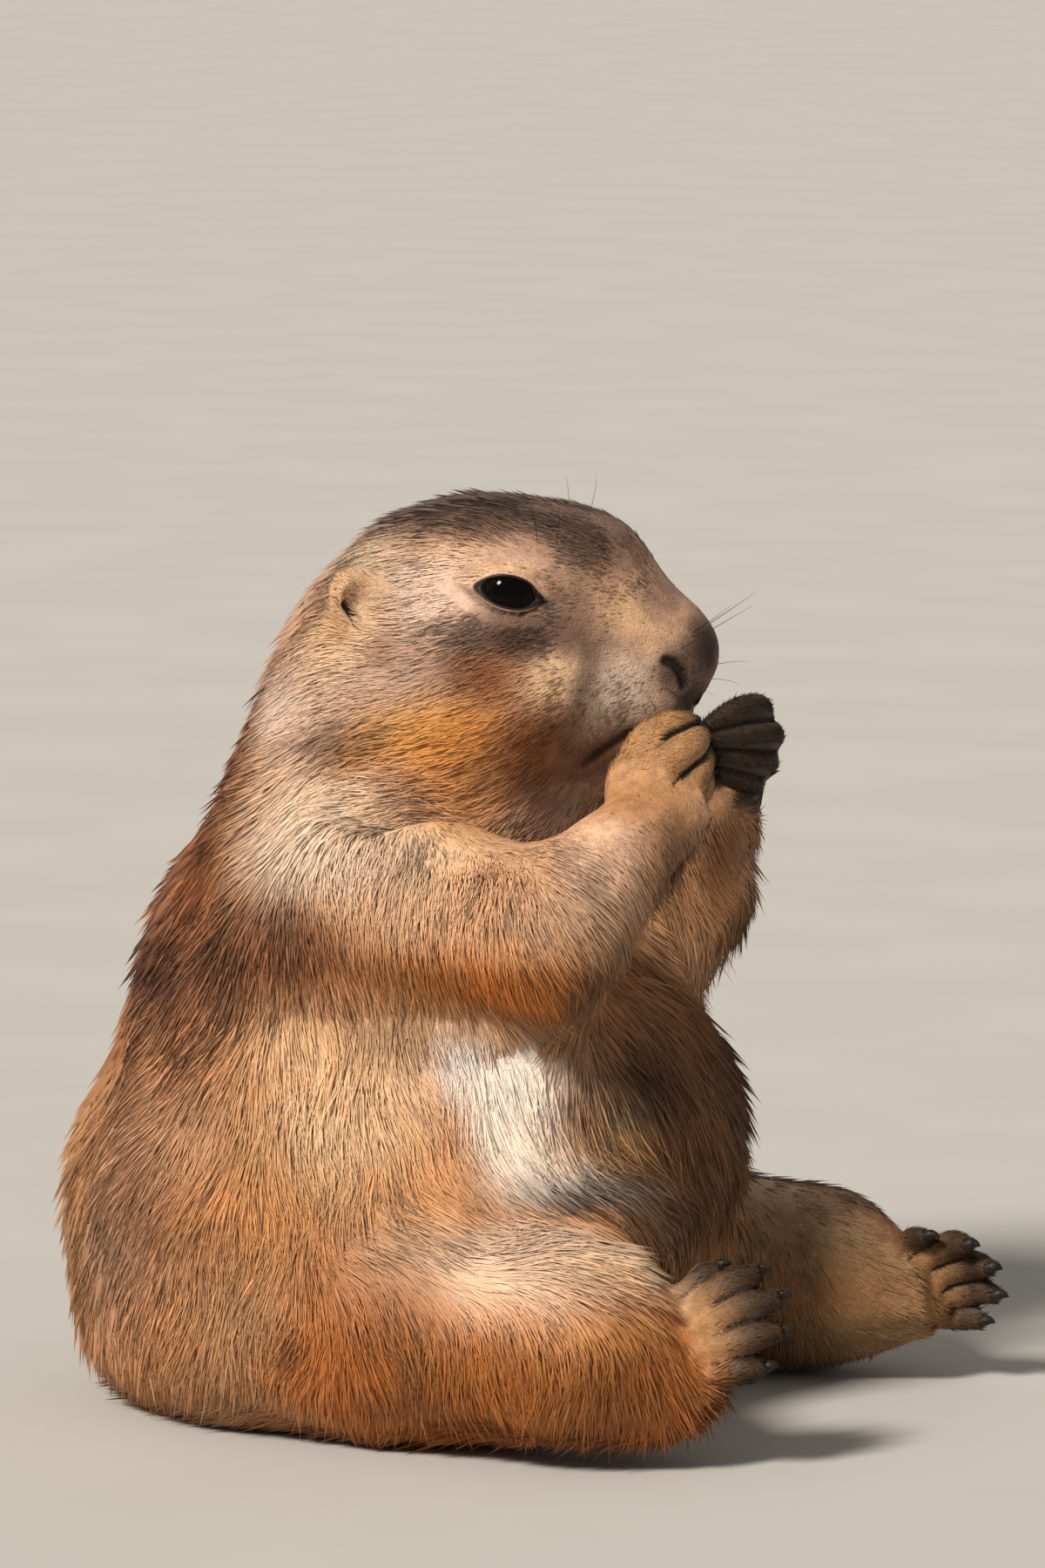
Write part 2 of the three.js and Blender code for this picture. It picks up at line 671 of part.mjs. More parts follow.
const SOLE = [[3, 0, 5], [12, 0, 5], [22, 0, 5], [29, 0, 4.8], [32, 0, 4.6]];
const SOLE_RADII = [4.6, 5, 5, 4.4, 3];
const TOES = [
  [[23, 6.4, 4.4], [28, 8.4, 5.2], [32.4, 9.8, 5.2], [36.6, 10.6, 2.8]],
  [[26, 3.6, 4.6], [32, 4.6, 6], [38, 5.6, 6.2], [43, 6.2, 2.8]],
  [[26.5, 0, 4.7], [33, 0, 6.2], [39.2, 0, 6.4], [44.6, 0, 2.8]],
  [[26, -3.6, 4.6], [32, -4.6, 6], [38, -5.6, 6], [42.8, -6.2, 2.8]],
  [[23, -6.6, 4.4], [28.4, -8.6, 5.2], [33.2, -10.2, 5], [37.6, -11, 2.8]],
];
const TOE_RADII = [2.5, 2.9, 3, 2.9, 2.6];

const FOOT = {
  right: { heel: [51.5, -46, 9], roll: 66, rise: 28, inward: 10 },
  left: { heel: [60, 44, 7], roll: -62, rise: 19, inward: -6 },
};

function footPlace({ heel, roll, rise, inward }) {
  return new THREE.Matrix4().makeTranslation(...heel).multiply(turning([roll, -rise, inward]));
}

for (const [side, name] of [[-1, 'right'], [1, 'left']]) {
  let foot = tube(SOLE, SOLE_RADII, 12, 7, [0, 1, 0], 1.75);
  TOES.forEach((toe, i) => {
    const path = sided(toe, -side);
    foot = foot.add(digit(path, TOE_RADII[i]));
    foot = foot.add(claw(path.at(-1), [1, 0, 0.05], CLAW_HIND, TOE_RADII[i] * 0.44));
  });
  const geometry = geometryOf(foot).applyMatrix4(footPlace(FOOT[name]));
  const set = solid(geometry.attributes.position.array, geometry.index.array);
  keep(`hind_foot_${name}`, clearOf(set, shins[name]).trimByPlane([0, 0, 1], 0), COLOUR.foot);
}

// The group, with its origin on the floor under the middle of the box

const group = new THREE.Group();
const box = new THREE.Box3();
for (const [name, { piece, colour }] of pieces) {
  const glossy = name.startsWith('eye');
  const material = new THREE.MeshStandardMaterial({
    color: colour,
    roughness: glossy ? 0.06 : 0.85,
    metalness: 0,
  });
  const mesh = new THREE.Mesh(geometryOf(piece), material);
  mesh.name = name;
  group.add(mesh);
  box.expandByObject(mesh);
}
const middle = box.getCenter(new THREE.Vector3());
group.position.set(-middle.x, -middle.y, 0);

export default group;
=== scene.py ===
import math

import bpy
import numpy as np
from bpy.props import FloatProperty, FloatVectorProperty, IntProperty, PointerProperty
from mathutils import Matrix, Vector
from mathutils.kdtree import KDTree


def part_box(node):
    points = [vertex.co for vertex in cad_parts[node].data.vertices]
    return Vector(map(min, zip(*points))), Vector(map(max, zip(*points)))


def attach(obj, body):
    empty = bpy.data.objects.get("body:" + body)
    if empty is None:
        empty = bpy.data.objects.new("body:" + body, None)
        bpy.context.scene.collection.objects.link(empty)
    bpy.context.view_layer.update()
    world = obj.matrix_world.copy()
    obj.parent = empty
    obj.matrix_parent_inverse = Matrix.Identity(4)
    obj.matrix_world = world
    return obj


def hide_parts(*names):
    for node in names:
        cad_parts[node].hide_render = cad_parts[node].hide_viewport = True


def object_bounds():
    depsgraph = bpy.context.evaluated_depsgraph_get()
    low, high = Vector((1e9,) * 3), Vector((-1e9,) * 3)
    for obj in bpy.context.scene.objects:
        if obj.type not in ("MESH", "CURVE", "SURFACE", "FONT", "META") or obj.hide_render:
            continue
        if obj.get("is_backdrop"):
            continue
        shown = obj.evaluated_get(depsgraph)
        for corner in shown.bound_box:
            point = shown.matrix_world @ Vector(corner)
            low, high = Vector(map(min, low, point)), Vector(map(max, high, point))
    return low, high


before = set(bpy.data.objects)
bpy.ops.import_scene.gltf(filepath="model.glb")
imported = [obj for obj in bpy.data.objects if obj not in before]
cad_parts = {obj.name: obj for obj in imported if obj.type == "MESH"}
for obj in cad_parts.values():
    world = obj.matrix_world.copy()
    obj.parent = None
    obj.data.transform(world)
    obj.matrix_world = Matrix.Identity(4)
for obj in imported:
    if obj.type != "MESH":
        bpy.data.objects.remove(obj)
CAD_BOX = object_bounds()

bl_info = {
    "name": "Sitting prairie dog",
    "version": (1, 0, 0),
    "blender": (4, 5, 0),
    "location": "3D View > Sidebar > Prairie dog",
    "description": "Skin, coat, eyes, claws and whiskers of a life-size prairie dog",
    "category": "Object",
}

MM = 0.001
SIDES = {"right": -1, "left": 1}  # the sign of Y on each side
FAR = 99.0  # a distance that stands for "not near this form"

# Small helpers for rows of points


def unit(vectors):
    """Each row scaled to a length of 1."""
    vectors = np.asarray(vectors, float)
    return vectors / np.maximum(np.linalg.norm(vectors, axis=-1, keepdims=True), 1e-9)


def ramp(values, low, high):
    """0 below low, 1 above high, and a smooth rise between. High may be the smaller one."""
    share = np.clip((values - low) / (high - low), 0, 1)
    return share * share * (3 - 2 * share)


def bell(distance, height, width):
    """A rounded ridge or dent, its full height at distance 0."""
    return height * np.exp(-((distance / width) ** 2))


def blend(first, second, share):
    """From the first rows at share 0 to the second at share 1."""
    first, second = np.asarray(first, float), np.asarray(second, float)
    return first + (second - first) * np.asarray(share)[..., None]


def dots(rows, others):
    """The dot product of each pair of rows."""
    return np.einsum("ij,ij->i", rows, others)


# The head's own frame: +X to the nose, +Y the left side, +Z up, from midway between the ears


def middle(node):
    low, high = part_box(node)
    return np.array((low + high) / 2) / MM


EYE_IN_HEAD = np.array([28.6, 15.0, 1.8])
EYE_CENTRE = {side: middle(f"eye_{side}") for side in SIDES}
BETWEEN_EYES = (EYE_CENTRE["left"] + EYE_CENTRE["right"]) / 2
HEAD_Y = unit(EYE_CENTRE["left"] - EYE_CENTRE["right"])
HEAD_Z = np.array([0.0, 0.0, 1.0])
HEAD_X = np.cross(HEAD_Y, HEAD_Z)
HEAD_TURN = np.stack([HEAD_X, HEAD_Y, HEAD_Z])
HEAD_ORIGIN = BETWEEN_EYES - EYE_IN_HEAD[0] * HEAD_X - EYE_IN_HEAD[2] * HEAD_Z

# Limbs are measured in a frame whose head origin is here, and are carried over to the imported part's
HEAD_ORIGIN_OF_LIMBS = np.array([-4.2, 0.0, 147.8])
LIMB_SHIFT = HEAD_ORIGIN - HEAD_ORIGIN_OF_LIMBS


def to_head(points):
    return (np.asarray(points, float) - HEAD_ORIGIN) @ HEAD_TURN.T


def mirrored_head(points):
    """Places in the head's frame, all brought to its left side."""
    head = to_head(points)
    head[:, 1] = np.abs(head[:, 1])
    return head


def from_head(points):
    return np.asarray(points, float) @ HEAD_TURN + HEAD_ORIGIN


def from_limbs(points):
    return np.asarray(points, float) + LIMB_SHIFT


# Parts of the body and how their coat is groomed

PART_OF = {
    "torso": "trunk",
    "neck": "trunk",
    "head": "head",
    "eye_right": "head",
    "eye_left": "head",
    "ear_right": "ear",
    "ear_left": "ear",
    "tail": "tail",
    "upper_arm_right": "arm_right",
    "forearm_right": "arm_right",
    "upper_arm_left": "arm_left",
    "forearm_left": "arm_left",
    "thigh_right": "leg_right",
    "shin_right": "leg_right",
    "thigh_left": "leg_left",
    "shin_left": "leg_left",
    "forepaw_right": "hand_right",
    "forepaw_left": "hand_left",
    "hind_foot_right": "foot_right",
    "hind_foot_left": "foot_left",
}
PARTS = sorted(set(PART_OF.values()))
FLESH = [node for node in PART_OF if not node.startswith("eye")]


def kind_of(part):
    """A part's name without its side."""
    return part.split("_")[0]


# Length and width of a tuft in millimetres, degrees that it stands up, and tufts on a square millimetre
GROOM = {
    "trunk": (8.6, 0.23, 8.3, 4.55),
    "arm": (7.2, 0.22, 7.4, 5.1),
    "leg": (8.0, 0.23, 8.0, 4.55),
    "tail": (12.0, 0.28, 18, 4.6),
    "head": (4.2, 0.19, 7.2, 7.0),
    "ear": (2.0, 0.16, 20, 8.0),
    "hand": (1.4, 0.15, 15, 7.6),
    "foot": (1.6, 0.16, 14, 7.6),
}
DEPTH_SHARE = 0.37  # of a tuft's length, between the skin and the tips of the lying coat

# Fingers, toes and claws, in the limbs' frame

HANDS = {
    "right": {
        "palm": [[53.5, -12.5, 109.8], [52.6, -11.7, 113.3], [52.2, -10.4, 117.6], [51.6, -7.7, 121.0]],
        "palm_radii": [6.0, 6.5, 6.3, 4.6],
        "fingers": [
            [[50.8, -7.8, 120.2], [53.2, -8.7, 123.5], [56.3, -5.2, 125.8], [59.0, -0.4, 126.4]],
            [[52.5, -9.8, 116.6], [56.9, -10.9, 119.8], [59.9, -7.3, 122.5], [60.9, -1.6, 124.8]],
            [[54.4, -9.5, 112.8], [59.2, -10.2, 115.3], [61.4, -6.8, 118.2], [61.4, -1.0, 121.4]],
            [[55.2, -5.2, 110.6], [58.9, -3.5, 112.7], [60.1, 0.5, 115.3], [59.6, 3.6, 117.8]],
        ],
        "radii": [4.2, 4.2, 3.7, 3.0],
        "inward": [-0.1, 1, 0.05],
    },
    "left": {
        "palm": [[56, 25, 106.5], [56.6, 25.5, 111], [57.4, 25.4, 116], [58.4, 25, 120.5]],
        "palm_radii": [6.2, 6.6, 6.4, 4.6],
        "fingers": [
            [[58.5, 24.4, 121.6], [63.5, 21.5, 126.4], [62.2, 13.6, 127.4], [58.0, 6.8, 124.8]],
            [[59.5, 25.4, 117.6], [65.4, 22.0, 122.0], [63.6, 13.6, 122.6], [59.0, 6.6, 122.6]],
            [[60, 25.0, 113.4], [64.6, 21.8, 117.2], [63.0, 14.0, 118.4], [59.6, 7.6, 119.4]],
            [[59, 23.6, 110.4], [62.4, 20.8, 113.2], [61.6, 14.4, 114.8], [59.4, 9.0, 116.4]],
        ],
        "radii": [3.1, 3.1, 2.9, 2.6],
        "inward": [-0.3, -1, 0.05],
    },
}
FINGER_SWELL = [1.0, 1.05, 0.97, 0.62]  # of a finger's radius at its four points
WRIST_BEFORE = 0.5  # of the palm's first stretch, that the palm reaches back into the forearm
WRIST_THINNER = 0.6  # than the palm, where the forearm ends

# Hind feet in their own frame: +X to the toes, +Z the upper side, +Y the inner side
TOES = [
    [[4, 3.2, 4.6], [23, 5.8, 5.0], [28, 8.0, 5.4], [32.4, 9.4, 5.2], [36.6, 10.2, 2.8]],
    [[3, 1.6, 5.0], [24, 3.2, 5.8], [32, 4.4, 6.2], [38, 5.4, 6.2], [43, 6.0, 2.8]],
    [[2, 0.0, 5.2], [25, 0.0, 6.0], [33, 0.0, 6.4], [39.2, 0.0, 6.4], [44.6, 0.0, 2.8]],
    [[3, -1.6, 5.0], [24, -3.2, 5.8], [32, -4.4, 6.2], [38, -5.4, 6.0], [42.8, -6.0, 2.8]],
    [[4, -3.2, 4.6], [23, -6.0, 5.0], [28.4, -8.2, 5.4], [33.2, -9.8, 5.0], [37.6, -10.6, 2.8]],
]
TOE_RADII = [2.6, 3.1, 3.2, 3.1, 2.8]
TOE_SWELL = [1.35, 1.2, 1.05, 1.05, 0.7]
SOLE_PAD = [[8, 0, 3.6], [16, 0, 3.2], [24, 0, 3.2], [28, 0, 3.4]]
SOLE_PAD_RADII = [3.6, 4.6, 5.4, 3.6]
# "hair_to" is how far along the foot the leg's long hair reaches
FEET = {
    "right": {"heel": [51.5, -46, 9], "roll": 66, "rise": 28, "inward": 10, "hair_to": 31},
    "left": {"heel": [60, 44, 7], "roll": -62, "rise": 19, "inward": -6, "hair_to": 9},
}
CLAW_LENGTH = 2.4

TAIL_LINE = [[-42, 2, 12], [-57, 22, 9], [-58, 42, 8], [-47, 60, 7]]
ARM_LINE = {
    "right": [[8, -31, 94], [45, -39, 92], [57.5, -11, 111]],
    "left": [[8, 31, 94], [42.5, 36, 90], [56, 24.5, 109]],
}

# Face, in the head's frame, left side

EYE_LOOKS = [0.26, 1.0, 0.1]
EYE_RADIUS = 6.9
LID_FRONT = 6.3  # from the middle of the opening between the lids to its front corner
LID_BACK = 5.9
LID_ABOVE = 3.0
LID_BELOW = 2.5
LID_TILT = 11  # degrees that the front corner lies lower
PINCH_FRONT = 0.55  # share by which the opening narrows towards its corner
PINCH_BACK = 0.3
AROUND_EYE = 16  # reach of the lids from the eyeball's centre
NOSTRIL = [[57.0, 11.0, -10.2], [58.3, 10.0, -10.9], [59.4, 8.9, -12.6], [59.8, 8.2, -14.8]]
MOUTH = [
    [61, 0, -17.8],
    [59.5, 2.6, -18.8],
    [55.5, 7, -21.5],
    [50, 10.5, -24],
    [45, 13, -27.5],
    [43, 14, -29.5],
]
NOSE_GROOVE = [[64, 0, -9], [63.4, 0, -13], [61.5, 0, -17.5]]
CHEEK_FOLD = [[45.1, 17.2, -10.8], [43.6, 18.9, -16.1], [42.4, 19.3, -20.8], [40.9, 18, -25.7]]
EAR_SLOT = [[0.6, 23.8, 0.2], [1.6, 23.2, -1.0], [2.6, 23.0, -2.2], [3.1, 23.3, -3.4]]
NOSE_TIP = [63.0, 0.0, -8.5]


def foot_turn(side):
    foot = FEET[side]
    turns = (("Z", foot["inward"]), ("Y", -foot["rise"]), ("X", foot["roll"]))
    matrix = Matrix.Identity(3)
    for axis, degrees in turns:
        matrix = matrix @ Matrix.Rotation(math.radians(degrees), 3, axis)
    return np.array(matrix)


def to_foot(points, side):
    return (points - from_limbs(FEET[side]["heel"])) @ foot_turn(side)


def from_foot(points, side):
    points = np.asarray(points, float) * [1, -SIDES[side], 1]
    return from_limbs(points @ foot_turn(side).T + FEET[side]["heel"])


def finger_lines(side):
    return [from_limbs(finger) for finger in HANDS[side]["fingers"]]


def toe_lines(side):
    return [from_foot(toe, side) for toe in TOES]


def past_hair(points, side, before=0.0):
    """1 on the leg, falling to 0 along the foot where the leg's long hair ends, or so far before it."""
    return ramp(to_foot(points, side)[:, 0] - FEET[side]["hair_to"] + before, 4, -5)


# Colours and sizes that a user would change


def shade(name, hint, code):
    value = [int(code[i : i + 2], 16) / 255 for i in (1, 3, 5)]
    return FloatVectorProperty(
        name=name, description=hint, default=value, size=3, min=0, max=1, subtype="COLOR_GAMMA"
    )


def size_setting(name, hint, metres):
    return FloatProperty(name=name, description=hint, default=metres, unit="LENGTH")


def angle_setting(name, hint, degrees):
    radians = math.radians(degrees)
    return FloatProperty(name=name, description=hint, default=radians, subtype="ANGLE")


def factor_setting(name, hint, value):
    return FloatProperty(name=name, description=hint, default=value)


def number_setting(name, hint, value):
    return IntProperty(name=name, description=hint, default=value)


class PrairieColours(bpy.types.PropertyGroup):
    """Tones of the coat, the bare skin and the claws"""

    flank: shade("Flank", "Main colour of the body's coat", "#BB865C")
    flank_pink: shade("Hip", "Pinkish tan at the back of the flank", "#B28262")
    gold: shade("Gold", "Golden hair on flank, thigh, throat and shoulder", "#CD9158")
    peach: shade("Peach", "Pale flank beside the white patch", "#DEB085")
    rump: shade("Rump", "Rump, tail and foot of the flank", "#A8764F")
    back: shade("Upper back", "Rust brown of the shoulders and upper back", "#85543A")
    nape: shade("Nape", "Reddish edge of the nape", "#9C5F3C")
    rust: shade("Rust", "Leg, hip and wrist", "#B16D3B")
    deep: shade("Deep rust", "Underside of the leg", "#A6632E")
    cream: shade("Cream", "Knee, neck and behind the ear", "#DDB995")
    pinkcream: shade("Pink cream", "Side of the neck and behind the eye", "#E3C0A8")
    white: shade("White", "Patch on the side of the belly", "#ECDDCF")
    grey: shade("Grey", "Fold between belly and thigh", "#958A82")
    brown: shade("Brown", "Chest, chin and elbow", "#7A5133")
    coffee: shade("Coffee", "Dark hair down the side of the belly", "#5C3D29")
    inner: shade("Inner leg", "Inner side of the legs", "#8C6D4C")
    neck: shade("Neck", "Bright pinkish cream on the side of the neck", "#ECCBAE")
    amber: shade("Amber", "Golden brown under the arm", "#B46E35")
    arm: shade("Arm", "Pinkish tan of the arm", "#CF9D76")
    face: shade("Face", "Main colour of the head", "#B89077")
    crown: shade("Crown", "Top of the head", "#705649")
    brow: shade("Brow", "Pale rim over the eye", "#D8B08A")
    streak: shade("Streak", "Dark streak under the eye", "#5F4537")
    cheek: shade("Cheek", "Rusty patch on the cheek", "#875331")
    tan: shade("Tan", "Ear, top of the muzzle and edge of the white patch", "#C69D76")
    jaw: shade("Jaw", "Golden lower cheek", "#D49248")
    muzzle: shade("Muzzle", "Side of the muzzle", "#BCA592")
    # Dark tone laid in the folds of the face as painted shade
    fold: shade("Fold", "Dark fold behind the muzzle and under the eye", "#684D3A")
    nose: shade("Nose", "Front of the nose", "#35221A")
    dark: shade("Dark", "Lips, nostrils, flecks and tip of the tail", "#1F1611")
    paw: shade("Paw", "Short hair of hands and feet", "#A97B50")
    # Dark bare skin of the far hand, darkened further as painted shade
    far_paw: shade("Far paw", "Shaded left hand", "#261B14")
    # Bare skin of the digits, also laid as painted shade in the gaps between them and at their ends
    paw_skin: shade("Paw skin", "Bare skin between and at the ends of the digits", "#281C15")
    claw: shade("Claw", "Claws", "#15100D")


class PrairieSkin(bpy.types.PropertyGroup):
    """How finely the skin is meshed and smoothed"""

    cell: size_setting("Cell", "Cell of the skin's mesh", 0.0005)
    overlap: size_setting("Overlap", "Growth that closes the gaps between the solids", 0.00035)
    broad_turns: number_setting("Body smoothing", "Turns of smoothing on the body", 60)
    fine_turns: number_setting("Paw smoothing", "Turns of smoothing on the paws", 7)
    triangles: number_setting("Triangles", "Triangles of the skin before its face is split", 150000)


class PrairieCoat(bpy.types.PropertyGroup):
    """How full the coat is"""

    amount: factor_setting("Amount", "Share of the full number of tufts", 1.0)
    length: factor_setting("Length", "Factor on the length of tufts", 1.0)
    width: factor_setting("Width", "Factor on the width of tufts", 1.0)
    seed: number_setting("Seed", "Start of the random draws", 7)


class PrairieStage(bpy.types.PropertyGroup):
    """Camera and light"""

    distance: size_setting("Distance", "Camera to animal", 1.6)
    lens: FloatProperty(name="Lens", description="Focal length", default=200, unit="CAMERA")
    azimuth: angle_setting("Azimuth", "Camera's turn from the animal's right side", 21)
    height: angle_setting("Height", "Camera's rise", 7)
    key: factor_setting("Key light", "Strength of the key light", 4.5)
    key_turn: angle_setting("Key turn", "Key light's turn to the left of the camera", 36)
    key_rise: angle_setting("Key rise", "Key light's rise over the floor", 40)
    softness: angle_setting("Softness", "Key light's width in the sky", 13)
    sky: factor_setting("Sky", "Strength of the surroundings", 0.38)


def linear(colour):
    """A colour as seen, turned into amounts of light."""
    values = np.asarray(colour, float)
    return np.where(values <= 0.04045, values / 12.92, ((values + 0.055) / 1.055) ** 2.4)


# Fixed colours, as amounts of light

PUPIL_BLACK = (0.002, 0.0012, 0.001, 1)
IRIS_BROWN = (0.010, 0.005, 0.003, 1)
LID_BLACK = (0.005, 0.003, 0.003, 1)
LID_BROWN = (0.016, 0.010, 0.008, 1)
WHISKER_BLACK = (0.008, 0.006, 0.005, 1)
FLOOR_BEIGE = (0.50, 0.475, 0.44, 1)
KEY_WARM = (1, 0.95, 0.87)
SKY_BEIGE = (0.86, 0.84, 0.80, 1)

# Material maths


class Value:
    """An output of a node. Arithmetic on it adds Math nodes."""

    def __init__(self, finish, socket):
        self.finish = finish
        self.socket = socket

    def _with(self, operation, first, second):
        return self.finish.node("ShaderNodeMath", {"operation": operation}, {0: first, 1: second})

    def __sub__(self, other):
        return self._with("SUBTRACT", self, other)

    def __rsub__(self, other):
        return self._with("SUBTRACT", other, self)

    def __mul__(self, other):
        return self._with("MULTIPLY", self, other)

    def __rmul__(self, other):
        return self._with("MULTIPLY", other, self)


class Finish:
    """A material on one Principled shader. Fixed sockets are given by name."""

    def __init__(self, name, fixed):
        self.material = bpy.data.materials.new(name)
        self.material.use_nodes = True
        self.tree = self.material.node_tree
        self.shader = self.tree.nodes["Principled BSDF"]
        for socket, value in fixed.items():
            self.shader.inputs[socket].default_value = value

    def node(self, kind, settings, sockets, out=0):
        """Adds a node: first its settings, then the values or links of its sockets."""
        made = self.tree.nodes.new(kind)
        for key, value in settings.items():
            setattr(made, key, value)
        for key, value in sockets.items():
            if isinstance(value, Value):
                self.tree.links.new(value.socket, made.inputs[key])
            else:
                made.inputs[key].default_value = value
        return Value(self, made.outputs[out])

    def attribute(self, name, out):
        return self.node("ShaderNodeAttribute", {"attribute_name": name}, {}, out)

    def place(self):
        return self.node("ShaderNodeTexCoord", {}, {}, "Object")

    def noise(self, scale, detail):
        sockets = {"Vector": self.place(), "Scale": scale, "Detail": detail}
        return self.node("ShaderNodeTexNoise", {}, sockets)

    def between(self, value, low, high, to_low=0.0, to_high=1.0):
        """The value's stretch from low to high, mapped smoothly onto another."""
        ends = {"From Min": low, "From Max": high, "To Min": to_low, "To Max": to_high}
        settings = {"interpolation_type": "SMOOTHSTEP"}
        return self.node("ShaderNodeMapRange", settings, {"Value": value, **ends})

    def mix(self, share, first, second, kind="MIX"):
        """Two colours mixed. Sockets 6 and 7 are the node's colours A and B."""
        sockets = {"Factor": share, 6: first, 7: second}
        return self.node("ShaderNodeMix", {"data_type": "RGBA", "blend_type": kind}, sockets, out=2)

    def times(self, colour, value):
        """A colour made lighter or darker by a value."""
        grey = self.node("ShaderNodeCombineXYZ", {}, {0: value, 1: value, 2: value})
        return self.mix(1.0, colour, grey, "MULTIPLY")

    def bump(self, height, distance, strength, under=None):
        sockets = {"Height": height, "Distance": distance, "Strength": strength}
        if under:
            sockets["Normal"] = under
        return self.node("ShaderNodeBump", {}, sockets)

    def feed(self, socket, value):
        self.tree.links.new(value.socket, self.shader.inputs[socket])


def coat_finish():
    """Painted hair, darker at the root."""
    finish = Finish("coat", {"Roughness": 0.55, "Specular IOR Level": 0.25})
    painted = finish.attribute("coat", "Color")
    light = finish.between(finish.attribute("strand", "Fac"), 0.0, 0.65, 0.88, 1.02)
    finish.feed("Base Color", finish.times(painted, light))
    return finish.material


def skin_finish():
    """The coat's colours on skin with a fine grain, worn patches and painted shade in the folds."""
    finish = Finish("skin", {"Roughness": 0.6, "Specular IOR Level": 0.3})
    painted = finish.attribute("coat", "Color")
    crease = finish.attribute("crease", "Fac")
    grain = finish.noise(scale=2600.0, detail=3.0)
    patch = finish.between(finish.noise(scale=420.0, detail=2.0), 0.3, 0.7, 0.8, 1.1)
    # Painted shade: up to 0.8 darker where the skin lies deep in a fold
    light = 1.0 - finish.between(crease, 0.0, 1.0, 0.0, 0.8)
    worn_and_fold_shade = patch * light * finish.between(grain, 0.3, 0.7, 0.85, 1.1)
    finish.feed("Base Color", finish.times(painted, worn_and_fold_shade))
    sockets = {"Vector": finish.place(), "Scale": 900.0}
    scales = finish.node("ShaderNodeTexVoronoi", {"feature": "DISTANCE_TO_EDGE"}, sockets)
    broad = finish.bump(finish.between(scales, 0.0, 0.12), distance=0.00012, strength=0.5)
    finish.feed("Normal", finish.bump(grain, distance=0.00015, strength=0.6, under=broad))
    return finish.material


def eye_finish():
    """Wet and nearly black, with a barely lighter, streaked iris."""
    finish = Finish("eye", {"Roughness": 0.03, "Specular IOR Level": 0.12, "IOR": 1.38})
    rim = finish.attribute("iris", "Fac")
    streaks = finish.between(finish.noise(scale=1500.0, detail=3.0), 0.35, 0.65)
    finish.feed("Base Color", finish.mix(rim * streaks, PUPIL_BLACK, IRIS_BROWN))
    return finish.material


def wet_finish():
    """The dark, damp margin of the lids."""
    fixed = {"Roughness": 0.45, "Specular IOR Level": 0.2, "Coat Weight": 0.08, "Coat Roughness": 0.2}
    finish = Finish("lid_margin", fixed)
    grain = finish.noise(scale=1800.0, detail=2.0)
    finish.feed("Base Color", finish.mix(grain, LID_BLACK, LID_BROWN))
    finish.feed("Normal", finish.bump(grain, distance=0.0001, strength=0.5))
    return finish.material


def claw_finish(colours):
    """Dark horn, in places as pale as the bare skin."""
    finish = Finish("claw", {"Specular IOR Level": 0.25})
    dark = tuple(linear(colours.claw)) + (1,)
    pale = tuple(linear(colours.paw_skin)) + (1,)
    grain = finish.noise(scale=900.0, detail=3.0)
    finish.feed("Base Color", finish.mix(finish.between(grain, 0.35, 0.7), dark, pale))
    finish.feed("Roughness", finish.between(grain, 0.2, 0.8, 0.42, 0.6))
    finish.feed("Normal", finish.bump(grain, distance=0.00015, strength=0.5))
    return finish.material


def whisker_finish():
    fixed = {"Base Color": WHISKER_BLACK, "Roughness": 0.35, "Specular IOR Level": 0.4}
    return Finish("whisker", fixed).material


def floor_finish():
    finish = Finish("floor", {"Roughness": 0.85, "Specular IOR Level": 0.1})
    grain = finish.between(finish.noise(scale=14.0, detail=3.0), 0.3, 0.7, 0.97, 1.0)
    finish.feed("Base Color", finish.times(FLOOR_BEIGE, grain))
    return finish.material


# Making and joining meshes


def select_only(*things):
    bpy.ops.object.select_all(action="DESELECT")
    for thing in things:
        thing.select_set(True)
    bpy.context.view_layer.objects.active = things[0]


def new_object(name, mesh):
    made = bpy.data.objects.new(name, mesh)
    bpy.context.scene.collection.objects.link(made)
    return made


def apply(thing, kind, **settings):
    select_only(thing)
    modifier = thing.modifiers.new(kind.title(), kind)
    for key, value in settings.items():
        setattr(modifier, key, value)
    bpy.ops.object.modifier_apply(modifier=modifier.name)


def joined(name, things):
    select_only(*things)
    bpy.ops.object.join()
    things[0].name = name
    things[0].data.name = name
    return things[0]


def tube(name, points, radii, sides=12, closed=False, steps=8):
    """A tapered tube along a smooth curve through the points, as a mesh."""
    curve = bpy.data.curves.new(name, "CURVE")
    curve.dimensions = "3D"
    curve.bevel_depth = 1.0
    curve.bevel_resolution = max(1, sides // 2 - 2)
    curve.resolution_u = steps
    curve.use_fill_caps = not closed
    spline = curve.splines.new("BEZIER")
    spline.use_cyclic_u = closed
    spline.bezier_points.add(len(points) - 1)
    for knot, point, radius in zip(spline.bezier_points, points, radii):
        knot.co = Vector(point) * MM
        knot.radius = radius * MM
        knot.handle_left_type = knot.handle_right_type = "AUTO"
    made = new_object(name, curve)
    select_only(made)
    bpy.ops.object.convert(target="MESH")
    return bpy.context.view_layer.objects.active


def read(rows, key, width, kind=np.float32):
    """One setting of all the rows of a mesh's list, as an array with so many columns."""
    flat = np.empty(len(rows) * width, kind)
    rows.foreach_get(key, flat)
    return flat.reshape(-1, width)


def coordinates(mesh):
    return read(mesh.vertices, "co", 3).astype(float) / MM


def set_coordinates(mesh, points):
    mesh.vertices.foreach_set("co", (points * MM).astype(np.float32).ravel())
    mesh.update()


def vertex_normals(mesh):
    return read(mesh.vertex_normals, "vector", 3).astype(float)


def tree_of(places):
    """A search tree that finds the nearest of the places."""
    tree = KDTree(len(places))
    for i, place in enumerate(places):
        tree.insert(place, i)
    tree.balance()
    return tree


